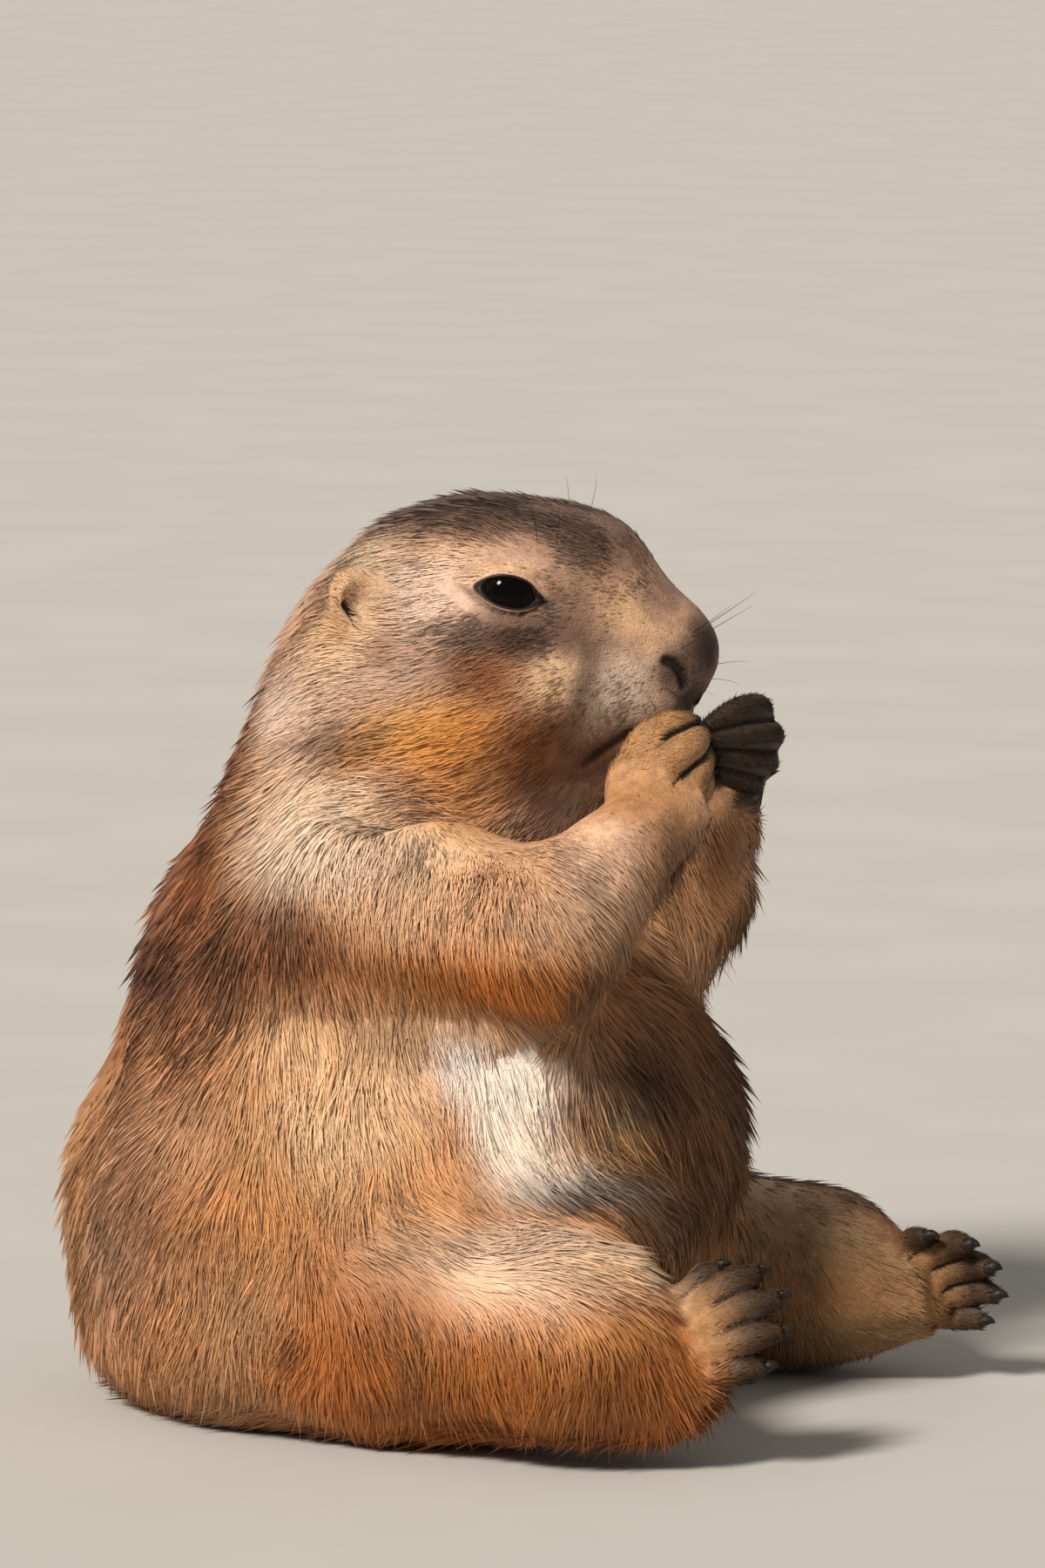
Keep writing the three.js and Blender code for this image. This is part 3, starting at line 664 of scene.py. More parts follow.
def averaged(rows, edges, turns, share=0.5):
    """Values on the skin's vertices, each drawn towards the mean of its neighbours."""
    rows = np.array(rows, float)
    flat = rows.reshape(len(rows), -1)
    count = np.maximum(np.bincount(edges.ravel(), minlength=len(rows)), 1)
    for _ in range(turns):
        for column in range(flat.shape[1]):
            values = flat[:, column]
            total = np.bincount(edges[:, 0], values[edges[:, 1]], len(rows))
            total += np.bincount(edges[:, 1], values[edges[:, 0]], len(rows))
            flat[:, column] = values + share * (total / count - values)
    return flat.reshape(rows.shape)


def set_attribute(mesh, name, kind, values):
    key = {"FLOAT": "value", "FLOAT_VECTOR": "vector", "FLOAT_COLOR": "color"}[kind]
    attribute = mesh.attributes.new(name, kind, "POINT")
    attribute.data.foreach_set(key, np.asarray(values, np.float32).ravel())


def paint(mesh, colours):
    set_attribute(mesh, "coat", "FLOAT_COLOR", np.column_stack([colours, np.ones(len(colours))]))


def along_line(points, line):
    """Each place's distance to a line, how far along it that is, from 0 to 1, and the way it runs."""
    line = np.asarray(line, float)
    lengths = np.linalg.norm(np.diff(line, axis=0), axis=1)
    starts = np.concatenate([[0], np.cumsum(lengths)])
    best = np.full(len(points), 1e9)
    far = np.zeros(len(points))
    ways = np.zeros((len(points), 3))
    for i, (start, end) in enumerate(zip(line[:-1], line[1:])):
        way = end - start
        share = np.clip((points - start) @ way / (way @ way), 0, 1)
        gap = np.linalg.norm(points - start - share[:, None] * way, axis=1)
        nearer = gap < best
        best[nearer] = gap[nearer]
        far[nearer] = (starts[i] + share[nearer] * lengths[i]) / starts[-1]
        ways[nearer] = way / lengths[i]
    return best, far, ways


def distance_to_line(points, line):
    return along_line(points, line)[0]


# Skin

FINE_NODES = ["forepaw_right", "forepaw_left", "hind_foot_right", "hind_foot_left"]
FACE_BACK = 38  # bounds of the face in the head's frame
FACE_FOOT = -34
FACE_HALF_WIDTH = 24
EYE_AREA = 14  # distance from the eye within which the skin keeps its full mesh
SKIN_OVER_FLOOR = 0.4


def flesh_copy(node, overlap):
    """A CAD node's shape with its corners merged, grown a little so that neighbours overlap."""
    made = new_object(f"flesh_{node}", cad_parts[node].data.copy())
    select_only(made)
    bpy.ops.object.mode_set(mode="EDIT")
    bpy.ops.mesh.select_all(action="SELECT")
    bpy.ops.mesh.remove_doubles(threshold=1e-6)
    bpy.ops.object.mode_set(mode="OBJECT")
    made.data.materials.clear()
    apply(made, "DISPLACE", strength=overlap, mid_level=0.0)
    return made


def digit_tubes(lines, radii, swell):
    """A tube along each finger or toe, its radius varied by the same shares."""
    forms = []
    for line, radius in zip(lines, radii):
        forms.append(tube("digit", line, [radius * share for share in swell]))
    return forms


def hand_forms(side):
    hand = HANDS[side]
    palm = np.array(hand["palm"], float)
    before = palm[0] - WRIST_BEFORE * (palm[1] - palm[0])
    line = from_limbs(np.vstack([before, palm]))
    form = tube("palm", line, [hand["palm_radii"][0] - WRIST_THINNER] + hand["palm_radii"])
    return [form] + digit_tubes(finger_lines(side), hand["radii"], FINGER_SWELL)


def foot_forms(side):
    form = tube("sole", from_foot(SOLE_PAD, side), SOLE_PAD_RADII)
    return [form] + digit_tubes(toe_lines(side), TOE_RADII, TOE_SWELL)


def near_nodes(points, names, margin):
    """Which points lie in the boxes of the named nodes, widened by a margin."""
    inside = np.zeros(len(points), bool)
    for name in names:
        low, high = (np.array(corner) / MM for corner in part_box(name))
        inside |= ((points > low - margin) & (points < high + margin)).all(1)
    return inside


def group_of(thing, name, chosen):
    group = thing.vertex_groups.new(name=name)
    group.add(np.nonzero(chosen)[0].tolist(), 1.0, "REPLACE")
    return name


def skin_shape(settings):
    """The whole flesh as one closed, smooth mesh out to the coat's tips."""
    nodes = [name for name in PART_OF if not name.startswith(("forepaw", "hind_foot"))]
    things = [flesh_copy(name, settings.overlap) for name in nodes]
    for side in SIDES:
        things += hand_forms(side) + foot_forms(side)
    skin = joined("skin", things)
    apply(skin, "REMESH", mode="VOXEL", voxel_size=settings.cell, use_smooth_shade=True)
    points = coordinates(skin.data)
    fine = near_nodes(points, FINE_NODES, margin=1.0)
    apply(skin, "SMOOTH", factor=0.5, iterations=settings.fine_turns)
    broad = group_of(skin, "broad", ~fine)
    apply(skin, "SMOOTH", factor=0.5, iterations=settings.broad_turns, vertex_group=broad)
    head = mirrored_head(points)
    face = (head[:, 0] > FACE_BACK) & (head[:, 2] > FACE_FOOT) & (head[:, 1] < FACE_HALF_WIDTH)
    face |= np.linalg.norm(head - EYE_IN_HEAD, axis=1) < EYE_AREA
    hidden = group_of(skin, "under_coat", ~(fine | face))
    total = sum(len(polygon.vertices) - 2 for polygon in skin.data.polygons)
    share = settings.triangles / total
    apply(skin, "DECIMATE", ratio=share, vertex_group=hidden, use_collapse_triangulate=True)
    skin.vertex_groups.clear()
    return skin


def parts_at(points):
    """The index in PARTS of the CAD node nearest to each point."""
    places = []
    labels = []
    for node, part in PART_OF.items():
        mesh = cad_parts[node].data
        rows = np.vstack([read(mesh.polygons, "center", 3) / MM, coordinates(mesh)])
        places.append(rows)
        labels += [PARTS.index(part)] * len(rows)
    tree = tree_of(np.vstack(places))
    return np.array([labels[tree.find(point)[1]] for point in points])


class Skin:
    """The skin's arrays: place, normal, part, and what the coat needs at each vertex."""

    def __init__(self, thing):
        self.thing = thing
        self.edges = read(thing.data.edges, "vertices", 2, np.int32)
        self.points = coordinates(thing.data)
        self.normals = vertex_normals(thing.data)
        self.part = parts_at(self.points)
        self.groom()

    def on(self, *names):
        """Which vertices lie on the named parts, given with their side or without."""
        chosen = np.zeros(len(self.points), bool)
        for i, part in enumerate(PARTS):
            if part in names or kind_of(part) in names:
                chosen |= self.part == i
        return chosen

    def groom(self):
        table = np.array([GROOM[kind_of(part)] for part in PARTS], float)[self.part]
        self.length, self.width, self.lift, self.count = table.T
        self.vary_length()
        columns = np.column_stack([self.length, self.width, self.lift, self.count])
        self.length, self.width, self.lift, self.count = averaged(columns, self.edges, 12).T
        ways = averaged(lie_of_coat(self), self.edges, 10)
        ways -= dots(ways, self.normals)[:, None] * self.normals
        self.ways = unit(ways)

    def vary_length(self):
        """Shorter on face, neck, wrists and ankles, longer on the belly and under the arms."""
        head = mirrored_head(self.points)
        # On the head 1.4 mm at the nose, growing to the neck and the throat, and less round the eye
        length = 1.4 + 3.4 * ramp(head[:, 0], 58, 12) + 1.8 * ramp(head[:, 0], 14, -8)
        length += 3.2 * ramp(head[:, 2], -19, -34) * ramp(head[:, 0], 46, 30)
        beside_eye = np.linalg.norm(head - EYE_IN_HEAD, axis=1)
        length *= 0.45 + 0.55 * ramp(beside_eye, 8, 14)
        self.longer("head", length - self.length)
        x, _, z = self.points.T
        front = ramp(x, 22, 44) * ramp(z, 22, 34) * ramp(z, 92, 78)
        self.longer("trunk", 1.4 * front - 2.0 * ramp(z, 104, 122))
        under = ramp(-self.normals[:, 2], 0.0, 0.7)
        self.longer("arm", 3.0 * under - 2.8 * ramp(z, 100, 107) - 3.2 * ramp(z, 106, 111))
        self.longer("hand", 1.6 * ramp(z, 111, 106))
        for side in SIDES:
            toward_leg = past_hair(self.points, side)
            self.longer(f"foot_{side}", 3.2 * toward_leg)
            self.longer(f"leg_{side}", 5.0 * (toward_leg - 1))

    def longer(self, part, extra):
        self.length = self.length + np.where(self.on(part), extra, 0)

    def sink(self):
        """Moves the skin in by the coat's depth, and by less at the throat."""
        x, y, z = self.points.T
        throat = ramp(x, 6, 16) * ramp(x, 44, 36) * ramp(np.abs(y), 34, 26)
        throat = throat * ramp(z, 96, 104) * ramp(z, 126, 118)
        depth = averaged(self.length * DEPTH_SHARE * (1 - 0.75 * throat), self.edges, 12)
        smooth_normals = unit(averaged(self.normals, self.edges, 6))
        self.points = self.points - smooth_normals * depth[:, None]
        self.points = averaged(self.points, self.edges, 2)
        self.points[:, 2] = np.maximum(self.points[:, 2], SKIN_OVER_FLOOR)

    def commit(self):
        set_coordinates(self.thing.data, self.points)
        self.normals = vertex_normals(self.thing.data)


def trunk_lie(x, z, normals):
    """Down the body, back over the rump, forward to the belly and along the fold over the thigh."""
    zero = np.zeros_like(x)
    lean = -0.9 * ramp(x, -20, -54) * (0.2 + 0.8 * ramp(z, 20, 82)) + 0.62 * ramp(x, -12, 14)
    ways = np.column_stack([lean, zero, -np.ones_like(x)])
    neck = np.column_stack([-0.4 - 0.6 * ramp(x, -22, -38), zero, -np.ones_like(x)])
    ways = blend(ways, neck, ramp(z, 97, 108))
    fold = np.exp(-(((x - 34) / 18) ** 2) - ((z - 49) / 9) ** 2)
    ways += fold[:, None] * [1.3, 0, 0.75]
    return ways + ramp(-normals[:, 2], 0.3, 0.9)[:, None] * [-1.2, 0, 0]


def head_lie(points):
    """Back from the nose, round the eye and down the cheek."""
    head = to_head(points)
    side = np.where(head[:, 1] < 0, -1.0, 1.0)
    ones = np.ones_like(side)
    away = head - np.column_stack([ones * EYE_IN_HEAD[0], side * EYE_IN_HEAD[1], ones * EYE_IN_HEAD[2]])
    cheek = ramp(head[:, 2], 2, -24)
    face = np.column_stack([-ones, 0.12 * side, -0.06 - 0.42 * cheek])
    face += unit(head - NOSE_TIP) * ramp(head[:, 0], 40, 58)[:, None] * 0.9
    face += unit(away) * (0.75 * ramp(np.linalg.norm(away, axis=1), 15, 8))[:, None]
    return face @ HEAD_TURN


def leg_lie(x, z, normals, limb):
    """Forward along the top of the thigh and the shin, down its side."""
    top = np.maximum(ramp(z, 30, 39), ramp(normals[:, 2], 0.3, 0.8))
    ways = blend([0.1, 0, -1], [0.5, 0, -1], ramp(z, 20, 31))
    ways = blend(ways, [1.0, 0.12 * limb, -0.2], top)
    ways = blend(ways, [0.9, 0, -0.45], ramp(x, 46, 62))
    return blend(ways, [-0.2, 0.3 * limb, -0.2], ramp(-normals[:, 2], 0.5, 0.95))


def lie_of_coat(skin):
    """The way that the hair lies at each vertex, before it is laid flat on the skin."""
    x, _, z = skin.points.T
    lies = {
        "head": head_lie(skin.points),
        "ear": np.array([-0.7, 0.0, 0.35]) @ HEAD_TURN,
        "tail": along_line(skin.points, from_limbs(TAIL_LINE))[2],
    }
    for side, sign in SIDES.items():
        _, far, _ = along_line(skin.points, from_limbs(ARM_LINE[side]))
        lies[f"arm_{side}"] = np.column_stack([-0.06 + 0.75 * far, np.zeros_like(x), -np.ones_like(x)])
        lies[f"leg_{side}"] = leg_lie(x, z, skin.normals, sign)
        over_knuckles = ramp(z, 116, 124)[:, None] * [0.6, -0.25 * sign, -0.6]
        lies[f"hand_{side}"] = np.array([[0.35, 0.1, 1.0]]) + over_knuckles
        lies[f"foot_{side}"] = foot_turn(side)[:, 0]
    ways = trunk_lie(x, z, skin.normals)
    for part, lie in lies.items():
        ways = np.where(skin.on(part)[:, None], lie, ways)
    return ways


# Lids, nose, mouth, ear and digits, shaped on the skin


def eye_axes(side):
    """Forward along the opening, over it, and out of the head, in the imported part's frame."""
    out = unit(np.array(EYE_LOOKS) * [1, SIDES[side], 1])
    along = unit(np.array([1.0, 0, 0]) - out * out[0])
    over = SIDES[side] * np.cross(along, out)
    tilt = math.radians(LID_TILT)
    forward = along * math.cos(tilt) - over * math.sin(tilt)
    rise = over * math.cos(tilt) + along * math.sin(tilt)
    return np.stack([forward, rise, out]) @ HEAD_TURN


def eyeball_centre(side):
    low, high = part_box(f"eye_{side}")
    solid_radius = (high - low).z / 2 / MM
    return EYE_CENTRE[side] - eye_axes(side)[2] * (EYE_RADIUS - solid_radius)


def lid_reach(along, over):
    """From the middle of the opening to its corner and to its lid, on the side where a place lies."""
    return np.where(along > 0, LID_FRONT, LID_BACK), np.where(over > 0, LID_ABOVE, LID_BELOW)


def lid_pinch(turn):
    """The share of its height that the opening keeps, at each turn round its middle."""
    pinch = np.where(np.cos(turn) > 0, PINCH_FRONT, PINCH_BACK)
    return 1 - pinch * np.abs(np.cos(turn)) ** 3


def lid_share(flat):
    """1 on the edge of the opening between the lids, less inside it, more outside."""
    reach, half = lid_reach(flat[:, 0], flat[:, 1])
    u = flat[:, 0] / reach
    turn = np.arctan2(flat[:, 1] / half, u)
    return np.hypot(u, flat[:, 1] / (half * lid_pinch(turn)))


def around_eye(points, side):
    """Places in the eye's own frame, and the share of the lids' opening there, or FAR elsewhere."""
    away = points - eyeball_centre(side)
    local = away @ eye_axes(side).T
    near = (local[:, 2] > 0) & (np.linalg.norm(away, axis=1) < AROUND_EYE)
    return local, np.where(near, lid_share(local[:, :2]), FAR)


def eye_corner(local, share):
    """1 in the dark hollow before the eye's front corner, falling to 0 around it."""
    hollow = np.exp(-(((local[:, 0] - 7.1) / 2.2) ** 2) - ((local[:, 1] + 0.15) / 0.95) ** 2)
    return np.where(share < FAR, hollow, 0)


def shape_lids(skin):
    """Rolled lids with a fold above and below, open over each eyeball."""
    for side in SIDES:
        away = skin.points - eyeball_centre(side)
        gap = np.linalg.norm(away, axis=1)
        local, share = around_eye(skin.points, side)
        inside = ramp(share, 1.05, 0.95)
        # The lid stands over the eyeball, swells beyond its edge and has a crease outside that
        lid = EYE_RADIUS + 0.45 + bell(share - 1.30, 0.45, 0.20)
        crease = bell(share - 1.75, 0.6, 0.14) * ramp(local[:, 1], -0.5, 1.5)
        crease += bell(share - 1.62, 0.45, 0.12) * ramp(local[:, 1], 0.5, -1.0)
        fade = ramp(share, 1.25, 2.2)
        wanted = lid * (1 - fade) + np.maximum(gap, EYE_RADIUS + 0.8) * fade - crease
        wanted = wanted * (1 - inside) + (EYE_RADIUS - 1.0) * inside
        moved = eyeball_centre(side) + unit(away) * wanted[:, None]
        skin.points = np.where((share < FAR)[:, None], moved, skin.points)


def shape_face(skin):
    """Nostrils, lips, the groove under the nose, the fold behind the muzzle and the ear openings."""
    flap = averaged(skin.on("ear"), skin.edges, 6)
    skin.points = blend(skin.points, averaged(skin.points, skin.edges, 40), 0.85 * flap)
    head = mirrored_head(skin.points)
    on_face = skin.on("head") & (head[:, 0] > 36)
    skin.nostril = np.where(on_face, distance_to_line(head, NOSTRIL), FAR)
    skin.mouth = np.where(on_face, distance_to_line(head, MOUTH), FAR)
    skin.fold = np.where(skin.on("head"), distance_to_line(head, CHEEK_FOLD), FAR)
    skin.ear_slot = np.where(skin.on("head", "ear"), distance_to_line(head, EAR_SLOT), FAR)
    groove = distance_to_line(head, NOSE_GROOVE)
    dent = bell(skin.nostril, 0.9, 0.8) + bell(skin.mouth, 1.0, 1.1) + bell(skin.fold, 0.6, 4.0)
    dent += bell(skin.ear_slot, 1.6, 0.8) + on_face * bell(groove, 0.5, 0.7)
    rim = bell(skin.nostril - 1.7, 0.12, 0.7) * (head[:, 0] > 54)
    skin.points = skin.points - skin.normals * (dent - rim)[:, None]


def digit_lines():
    """For each paw its part, its digits' lines and radii, and how far along them the gaps begin."""
    for side in SIDES:
        yield f"hand_{side}", finger_lines(side), HANDS[side]["radii"], 0.34
        yield f"foot_{side}", toe_lines(side), TOE_RADII, 0.74


def shape_digits(skin):
    """Deepens the creases between fingers and between toes."""
    skin.gap = np.full(len(skin.points), FAR)
    skin.digit_end = np.zeros(len(skin.points))
    for part, lines, radii, start in digit_lines():
        chosen = skin.on(part)
        rows = skin.points[chosen]
        away, far, _ = zip(*(along_line(rows, line) for line in lines))
        away = np.array(away) / np.array(radii)[:, None]
        along = np.array(far)[np.argmin(away, 0), np.arange(len(rows))]
        ordered = np.sort(away, 0)
        skin.gap[chosen] = ordered[1] - ordered[0] + 3 * ramp(along, start, start - 0.15)
        skin.digit_end[chosen] = along
    skin.points = skin.points - skin.normals * bell(skin.gap, 0.7, 0.17)[:, None]


# Markings, with painted shade and highlights among them. Each zone is a soft ellipsoid round a place on
# the right side, mirrored to the left.
# Head zones are in the head's frame with Y positive, the others in the imported part's, Y negative.

# Colour, middle, radii and strength of each zone, by group
ZONES = {
    "body": [
        ("flank_pink", [-54.8, -45.7, 37.9], [14.4, 14.4, 25.6], 1),
        ("flank_pink", [-42.6, -46.2, 59.2], [11.2, 12, 11.2], 0.8),
        ("back", [-45.3, -24, 81.5], [24, 38, 15.2], 0.95),
        ("back", [-50, 0, 92], [18, 36, 20], 0.9),
        ("back", [-22, -46.7, 91], [19.2, 19.2, 8.8], 0.95),
        ("back", [-60, -18, 61.7], [11, 32, 11], 0.6),
        ("rump", [-64, 0, 40], [14, 26, 32], 0.7),
        # Painted shade: dark brown on the front of the belly and on the chest, which face away from the
        # light, over their own brown
        ("brown", [50, 0, 66], [14, 16, 32], 0.8),
        ("brown", [44, -8, 90], [12, 16, 12], 0.6),
        ("nape", [-44, -9, 119.1], [11, 26, 17], 1),
        ("nape", [-44, -22, 101], [8, 28, 12], 1),
        ("gold", [-17.5, -53.9, 50.1], [13.6, 13.6, 15.2], 0.65),
        ("peach", [-7.3, -50.3, 61.9], [16, 16, 14.4], 0.95),
        ("peach", [-20.3, -47, 72.4], [9.6, 12, 6.4], 0.6),
        ("rump", [-34, -55.1, 15.5], [24, 24, 9], 0.5),
        ("rust", [-6.6, -62.4, 28], [7.4, 12, 12.5], 0.95),
        ("rust", [-17.5, -58.2, 14.1], [11.2, 12, 5.8], 0.6),
        ("gold", [3.5, -54.7, 47.3], [9.6, 12, 5.4], 0.7),
        ("coffee", [37.6, -22.9, 65.8], [8.3, 12, 12.8], 0.9),
        ("coffee", [44.7, -12.8, 43.5], [9.9, 12, 11.5], 0.9),
        ("white", [13, -43.1, 68.5], [7.4, 12, 5.2], 1),
        ("white", [22.5, -39.4, 64.5], [9, 13, 8.4], 1),
        ("white", [23, -42, 55.5], [7.6, 13, 9], 1),
        ("white", [29, -40, 50.4], [6.4, 13, 4.4], 0.8),
        ("grey", [34.5, -34.5, 47], [15, 16.8, 3], 0.9),
        ("tan", [35.2, -31, 58.3], [3.2, 12, 7], 0.9),
        ("coffee", [40.4, -19.4, 63.1], [4.8, 12, 12.8], 0.9),
        ("gold", [38.6, -27.4, 54], [4.6, 10, 5.4], 0.6),
        ("gold", [43, -19, 46], [3.8, 10, 5], 0.5),
        ("amber", [-6, -47, 87.5], [15, 12, 6], 0.7),
        ("gold", [4.9, -22.3, 115.8], [11.2, 12, 8], 0.8),
        ("gold", [-3.9, -42, 108.4], [11.2, 12, 6.4], 0.6),
        ("neck", [-20.9, -38.5, 113], [13.5, 13.5, 15], 1),
        ("neck", [-18.4, -45.4, 102.7], [12, 12, 5.4], 0.9),
        ("cream", [-2.5, -39.3, 110.5], [8, 12, 9.9], 0.7),
    ],
    "leg": [
        ("inner", [56, -24, 26], [38, 20, 28], 1),
        ("cream", [60, -36, 32], [10, 12, 6], 0.5),
        ("cream", [21, -55, 36], [25, 20, 10.5], 0.75),
        ("pinkcream", [30, -55, 36], [22, 18, 8.5], 0.55),
        ("cream", [47.9, -50.7, 36.6], [12.8, 12.8, 5.1], 0.7),
        ("deep", [36.5, -65.9, 17.6], [43.2, 32, 8.6], 0.95),
        ("rust", [6.9, -63.1, 29.1], [9.6, 12, 9.6], 0.8),
        ("gold", [42.5, -64.7, 26.4], [19.2, 19.2, 3.8], 0.5),
    ],
    "arm": [
        ("neck", [-15, -41.3, 110.9], [12, 12, 13.6], 0.9),
        ("cream", [4.6, -38.4, 109.1], [9.9, 12, 7.4], 0.7),
        ("gold", [7.3, -30, 113], [9.6, 14, 6.4], 0.8),
        # Painted highlight: pinkish cream on the lit top of the forearm
        ("pinkcream", [34, -32.1, 108], [9, 12, 6], 0.35),
        ("pinkcream", [38, -38, 102], [8, 14, 7], 0.5),
        ("amber", [11.8, -48.4, 85.2], [30.4, 12, 6.4], 1),
        ("amber", [25.6, -50, 82.3], [14.4, 12, 6.4], 1),
        ("back", [-20.3, -46.9, 89.5], [11.2, 12, 7.4], 0.9),
        ("brown", [38.8, -41.7, 84], [9, 12, 8.6], 0.7),
        # Painted shade: brown where the near arm's shadow falls between the arms
        ("brown", [26.1, -17.3, 89], [4.2, 12, 12.8], 0.6),
        ("rust", [35.8, -18.4, 115.2], [6.4, 12, 4.2], 0.6),
        ("paw", [35, -12, 115.5], [9, 12, 6], 0.85),
        # Painted shade: brown on the inner side of the forearms
        ("brown", [48, -19, 101], [18, 9, 18], 0.7),
    ],
    "head": [
        ("pinkcream", [15.5, 23, 3.3], [11.5, 11.5, 6.7], 0.7),
        ("brow", [12.9, 18.4, 10.2], [12.8, 12.8, 2.1], 0.4),
        ("cream", [0.9, 14.4, 7.7], [8, 9, 4.8], 0.85),
        ("cream", [-3.6, 23.4, -7.2], [9.6, 9.6, 11.2], 0.85),
        ("pinkcream", [-11.5, 24.2, -16.7], [8, 9, 11.2], 0.9),
        ("tan", [7.7, 22.4, 0.7], [3.2, 9, 6.4], 0.6),
        ("cheek", [6.9, 25.8, -8.6], [2.9, 9, 3.5], 0.7),
        ("brow", [28.7, 21.8, 7], [7.4, 9, 1.1], 0.7),
        ("cheek", [26.7, 26.6, -11.7], [9, 9, 7], 1),
        # Painted highlight: pale tone on the cheek below the eye
        ("brow", [38.3, 23.1, -13.9], [6.1, 9, 7], 0.9),
        ("tan", [51.4, 11.8, -1.8], [8, 9, 7], 0.8),
        ("streak", [40, 18, 0.9], [5, 9, 7.4], 0.6),
        ("streak", [33, 22.3, -4.2], [13.5, 12.5, 4.2], 0.95),
        ("streak", [44.5, 17.2, -7.7], [6.4, 9, 2.6], 0.75),
        ("jaw", [18.2, 28.8, -22.8], [14.1, 14.1, 7], 1),
        ("jaw", [4, 33.1, -25.1], [6.4, 9, 4.5], 0.7),
        ("cheek", [34.8, 23.1, -25.3], [8, 9, 8], 0.95),
        ("muzzle", [47.7, 15.4, -15.7], [8, 9, 7.4], 1),
        # Painted shade in the fold behind the muzzle
        ("fold", [42.6, 19.9, -16.1], [2.2, 9, 7.4], 0.5),
        # Dark nose pad, nostril and lips, with painted shade added on the front of the nose, below the
        # nostril and on the chin
        ("nose", [63.4, 5, -8], [5, 9, 9.4], 1),
        ("nose", [57.6, 10.4, -12.1], [3.4, 9, 4.8], 0.9),
        ("dark", [60, 7.5, -18.2], [2.9, 9, 3.8], 0.9),
        ("brown", [45.1, 11.9, -27.6], [6.7, 9, 3.2], 0.95),
        ("brown", [38.7, 16.1, -30.7], [8, 9, 3.2], 0.8),
        ("crown", [24.5, 12.6, 15.8], [32, 32, 4], 0.92),
        ("crown", [22, 2, 20.5], [22, 14, 6], 0.7),
        ("crown", [44.7, 10.1, 11.6], [12.5, 12.5, 6.4], 0.95),
        ("crown", [54.5, 6.7, 1.7], [4, 9, 6.4], 0.7),
    ],
}

# Middle, radii and share of dark tufts, by group
FLECKS = {
    "body": [
        ([-25.8, -45.6, 92.2], [17.6, 17.6, 9], 0.5),
        ([-45.3, -22, 82], [20.8, 36, 15], 0.32),
        ([-43, -12, 112], [10, 26, 18], 0.3),
        ([-22, -46.1, 81.5], [3.8, 12, 1.3], 0.95),
        ([-15.3, -46.2, 79.3], [4.2, 12, 1.1], 0.9),
        ([-36.4, -44.8, 73.5], [4.2, 12, 4.2], 0.4),
        ([4.6, -55.4, 45.5], [4.2, 12, 1.9], 0.7),
        ([-2.2, -63.1, 19.1], [14.4, 14.4, 9.6], 0.25),
        ([34.7, -35.1, 46.1], [12.8, 12.8, 1.6], 0.5),
        ([-2.7, -32.5, 112.8], [4.2, 12, 3.8], 0.45),
        ([-17.3, -30.4, 124.4], [8.3, 12, 4.2], 0.6),
        ([35.5, -30.6, 58.3], [9.6, 12, 11.2], 0.2),
    ],
    "leg": [
        ([12, -57.4, 40.1], [4.2, 12, 2.2], 0.6),
        ([19.1, -56.6, 39.6], [2.2, 12, 2.9], 0.5),
        ([55.8, -43.6, 34.4], [4.2, 12, 2.9], 0.5),
    ],
    "arm": [
        ([3.2, -38.9, 109.1], [2.8, 12, 5.2], 0.95),
        ([16.8, -48.6, 101.7], [2.6, 12, 3.2], 0.5),
        ([23.5, -50.5, 100.7], [1.3, 12, 4.2], 0.7),
        ([26.7, -53, 90.4], [1.6, 12, 3.2], 0.4),
    ],
    "head": [
        ([24.5, 12.6, 15.8], [30.4, 30.4, 4.4], 0.85),
        ([46.4, 10.4, 9.7], [12, 12, 8], 0.6),
        ([33, 22.3, -4.4], [16, 14.4, 4.6], 0.6),
        ([3.8, 32.2, -23.3], [8.3, 9, 3.2], 0.65),
        ([48.1, 14.9, -16.5], [7, 9, 4.8], 0.3),
        ([14.2, 20.5, 7.6], [1.6, 9, 1], 0.8),
        ([51.7, 8.9, 3.1], [1.3, 9, 1.3], 0.9),
        ([44.8, 14.4, 5.4], [1.6, 9, 2.6], 0.5),
        ([40.6, 21.5, -19.1], [3.2, 9, 8], 0.3),
    ],
}
GROUP_PARTS = {"body": ("trunk", "leg"), "leg": ("leg",), "arm": ("arm",), "head": ("head", "ear")}
BASE_FLECKS = 0.02  # share of dark tufts outside those places
BASE_COLOUR = {
    "trunk": "flank",
    "head": "face",
    "ear": "tan",
    "arm": "arm",
    "leg": "rust",
    "tail": "rump",
    "hand": "paw",
    "foot": "paw",
}
COLOUR_SHIFT = 0.5  # of a tuft's length, from its root to where its colour shows


def zone_share(places, spot, radii):
    """1 in the middle of a zone, falling off steeply at its edge."""
    reach = np.linalg.norm((places - spot) / radii, axis=1)
    return np.exp(-(reach**3.2))


def palette(colours):
    """Every tone by its name, as amounts of light, and those of the lids' rim and the flecks."""
    names = [name for name in colours.bl_rna.properties.keys() if name not in ("rna_type", "name")]
    tones = {name: linear(getattr(colours, name)) for name in names}
    return {**tones, "lid_rim": tones["dark"] * 0.6, "fleck": tones["dark"] * 1.3}


def over_foot(skin):
    """1 on the part of the feet that the leg's long hair covers."""
    covered = (skin.on(f"foot_{side}") * past_hair(skin.points, side) for side in SIDES)
    return np.maximum(*covered)


def group_mask(skin, group, body):
    """Where a group's zones may lie. The body's reach over the throat and the back of the head."""
    mask = skin.on(*GROUP_PARTS[group]).astype(float)
    if group == "leg":
        mask = np.maximum(mask, over_foot(skin))
    if group == "body":
        mask = np.maximum(mask, skin.on("head") * ramp(body[:, 2], 129, 121))
    return averaged(mask, skin.edges, 6)


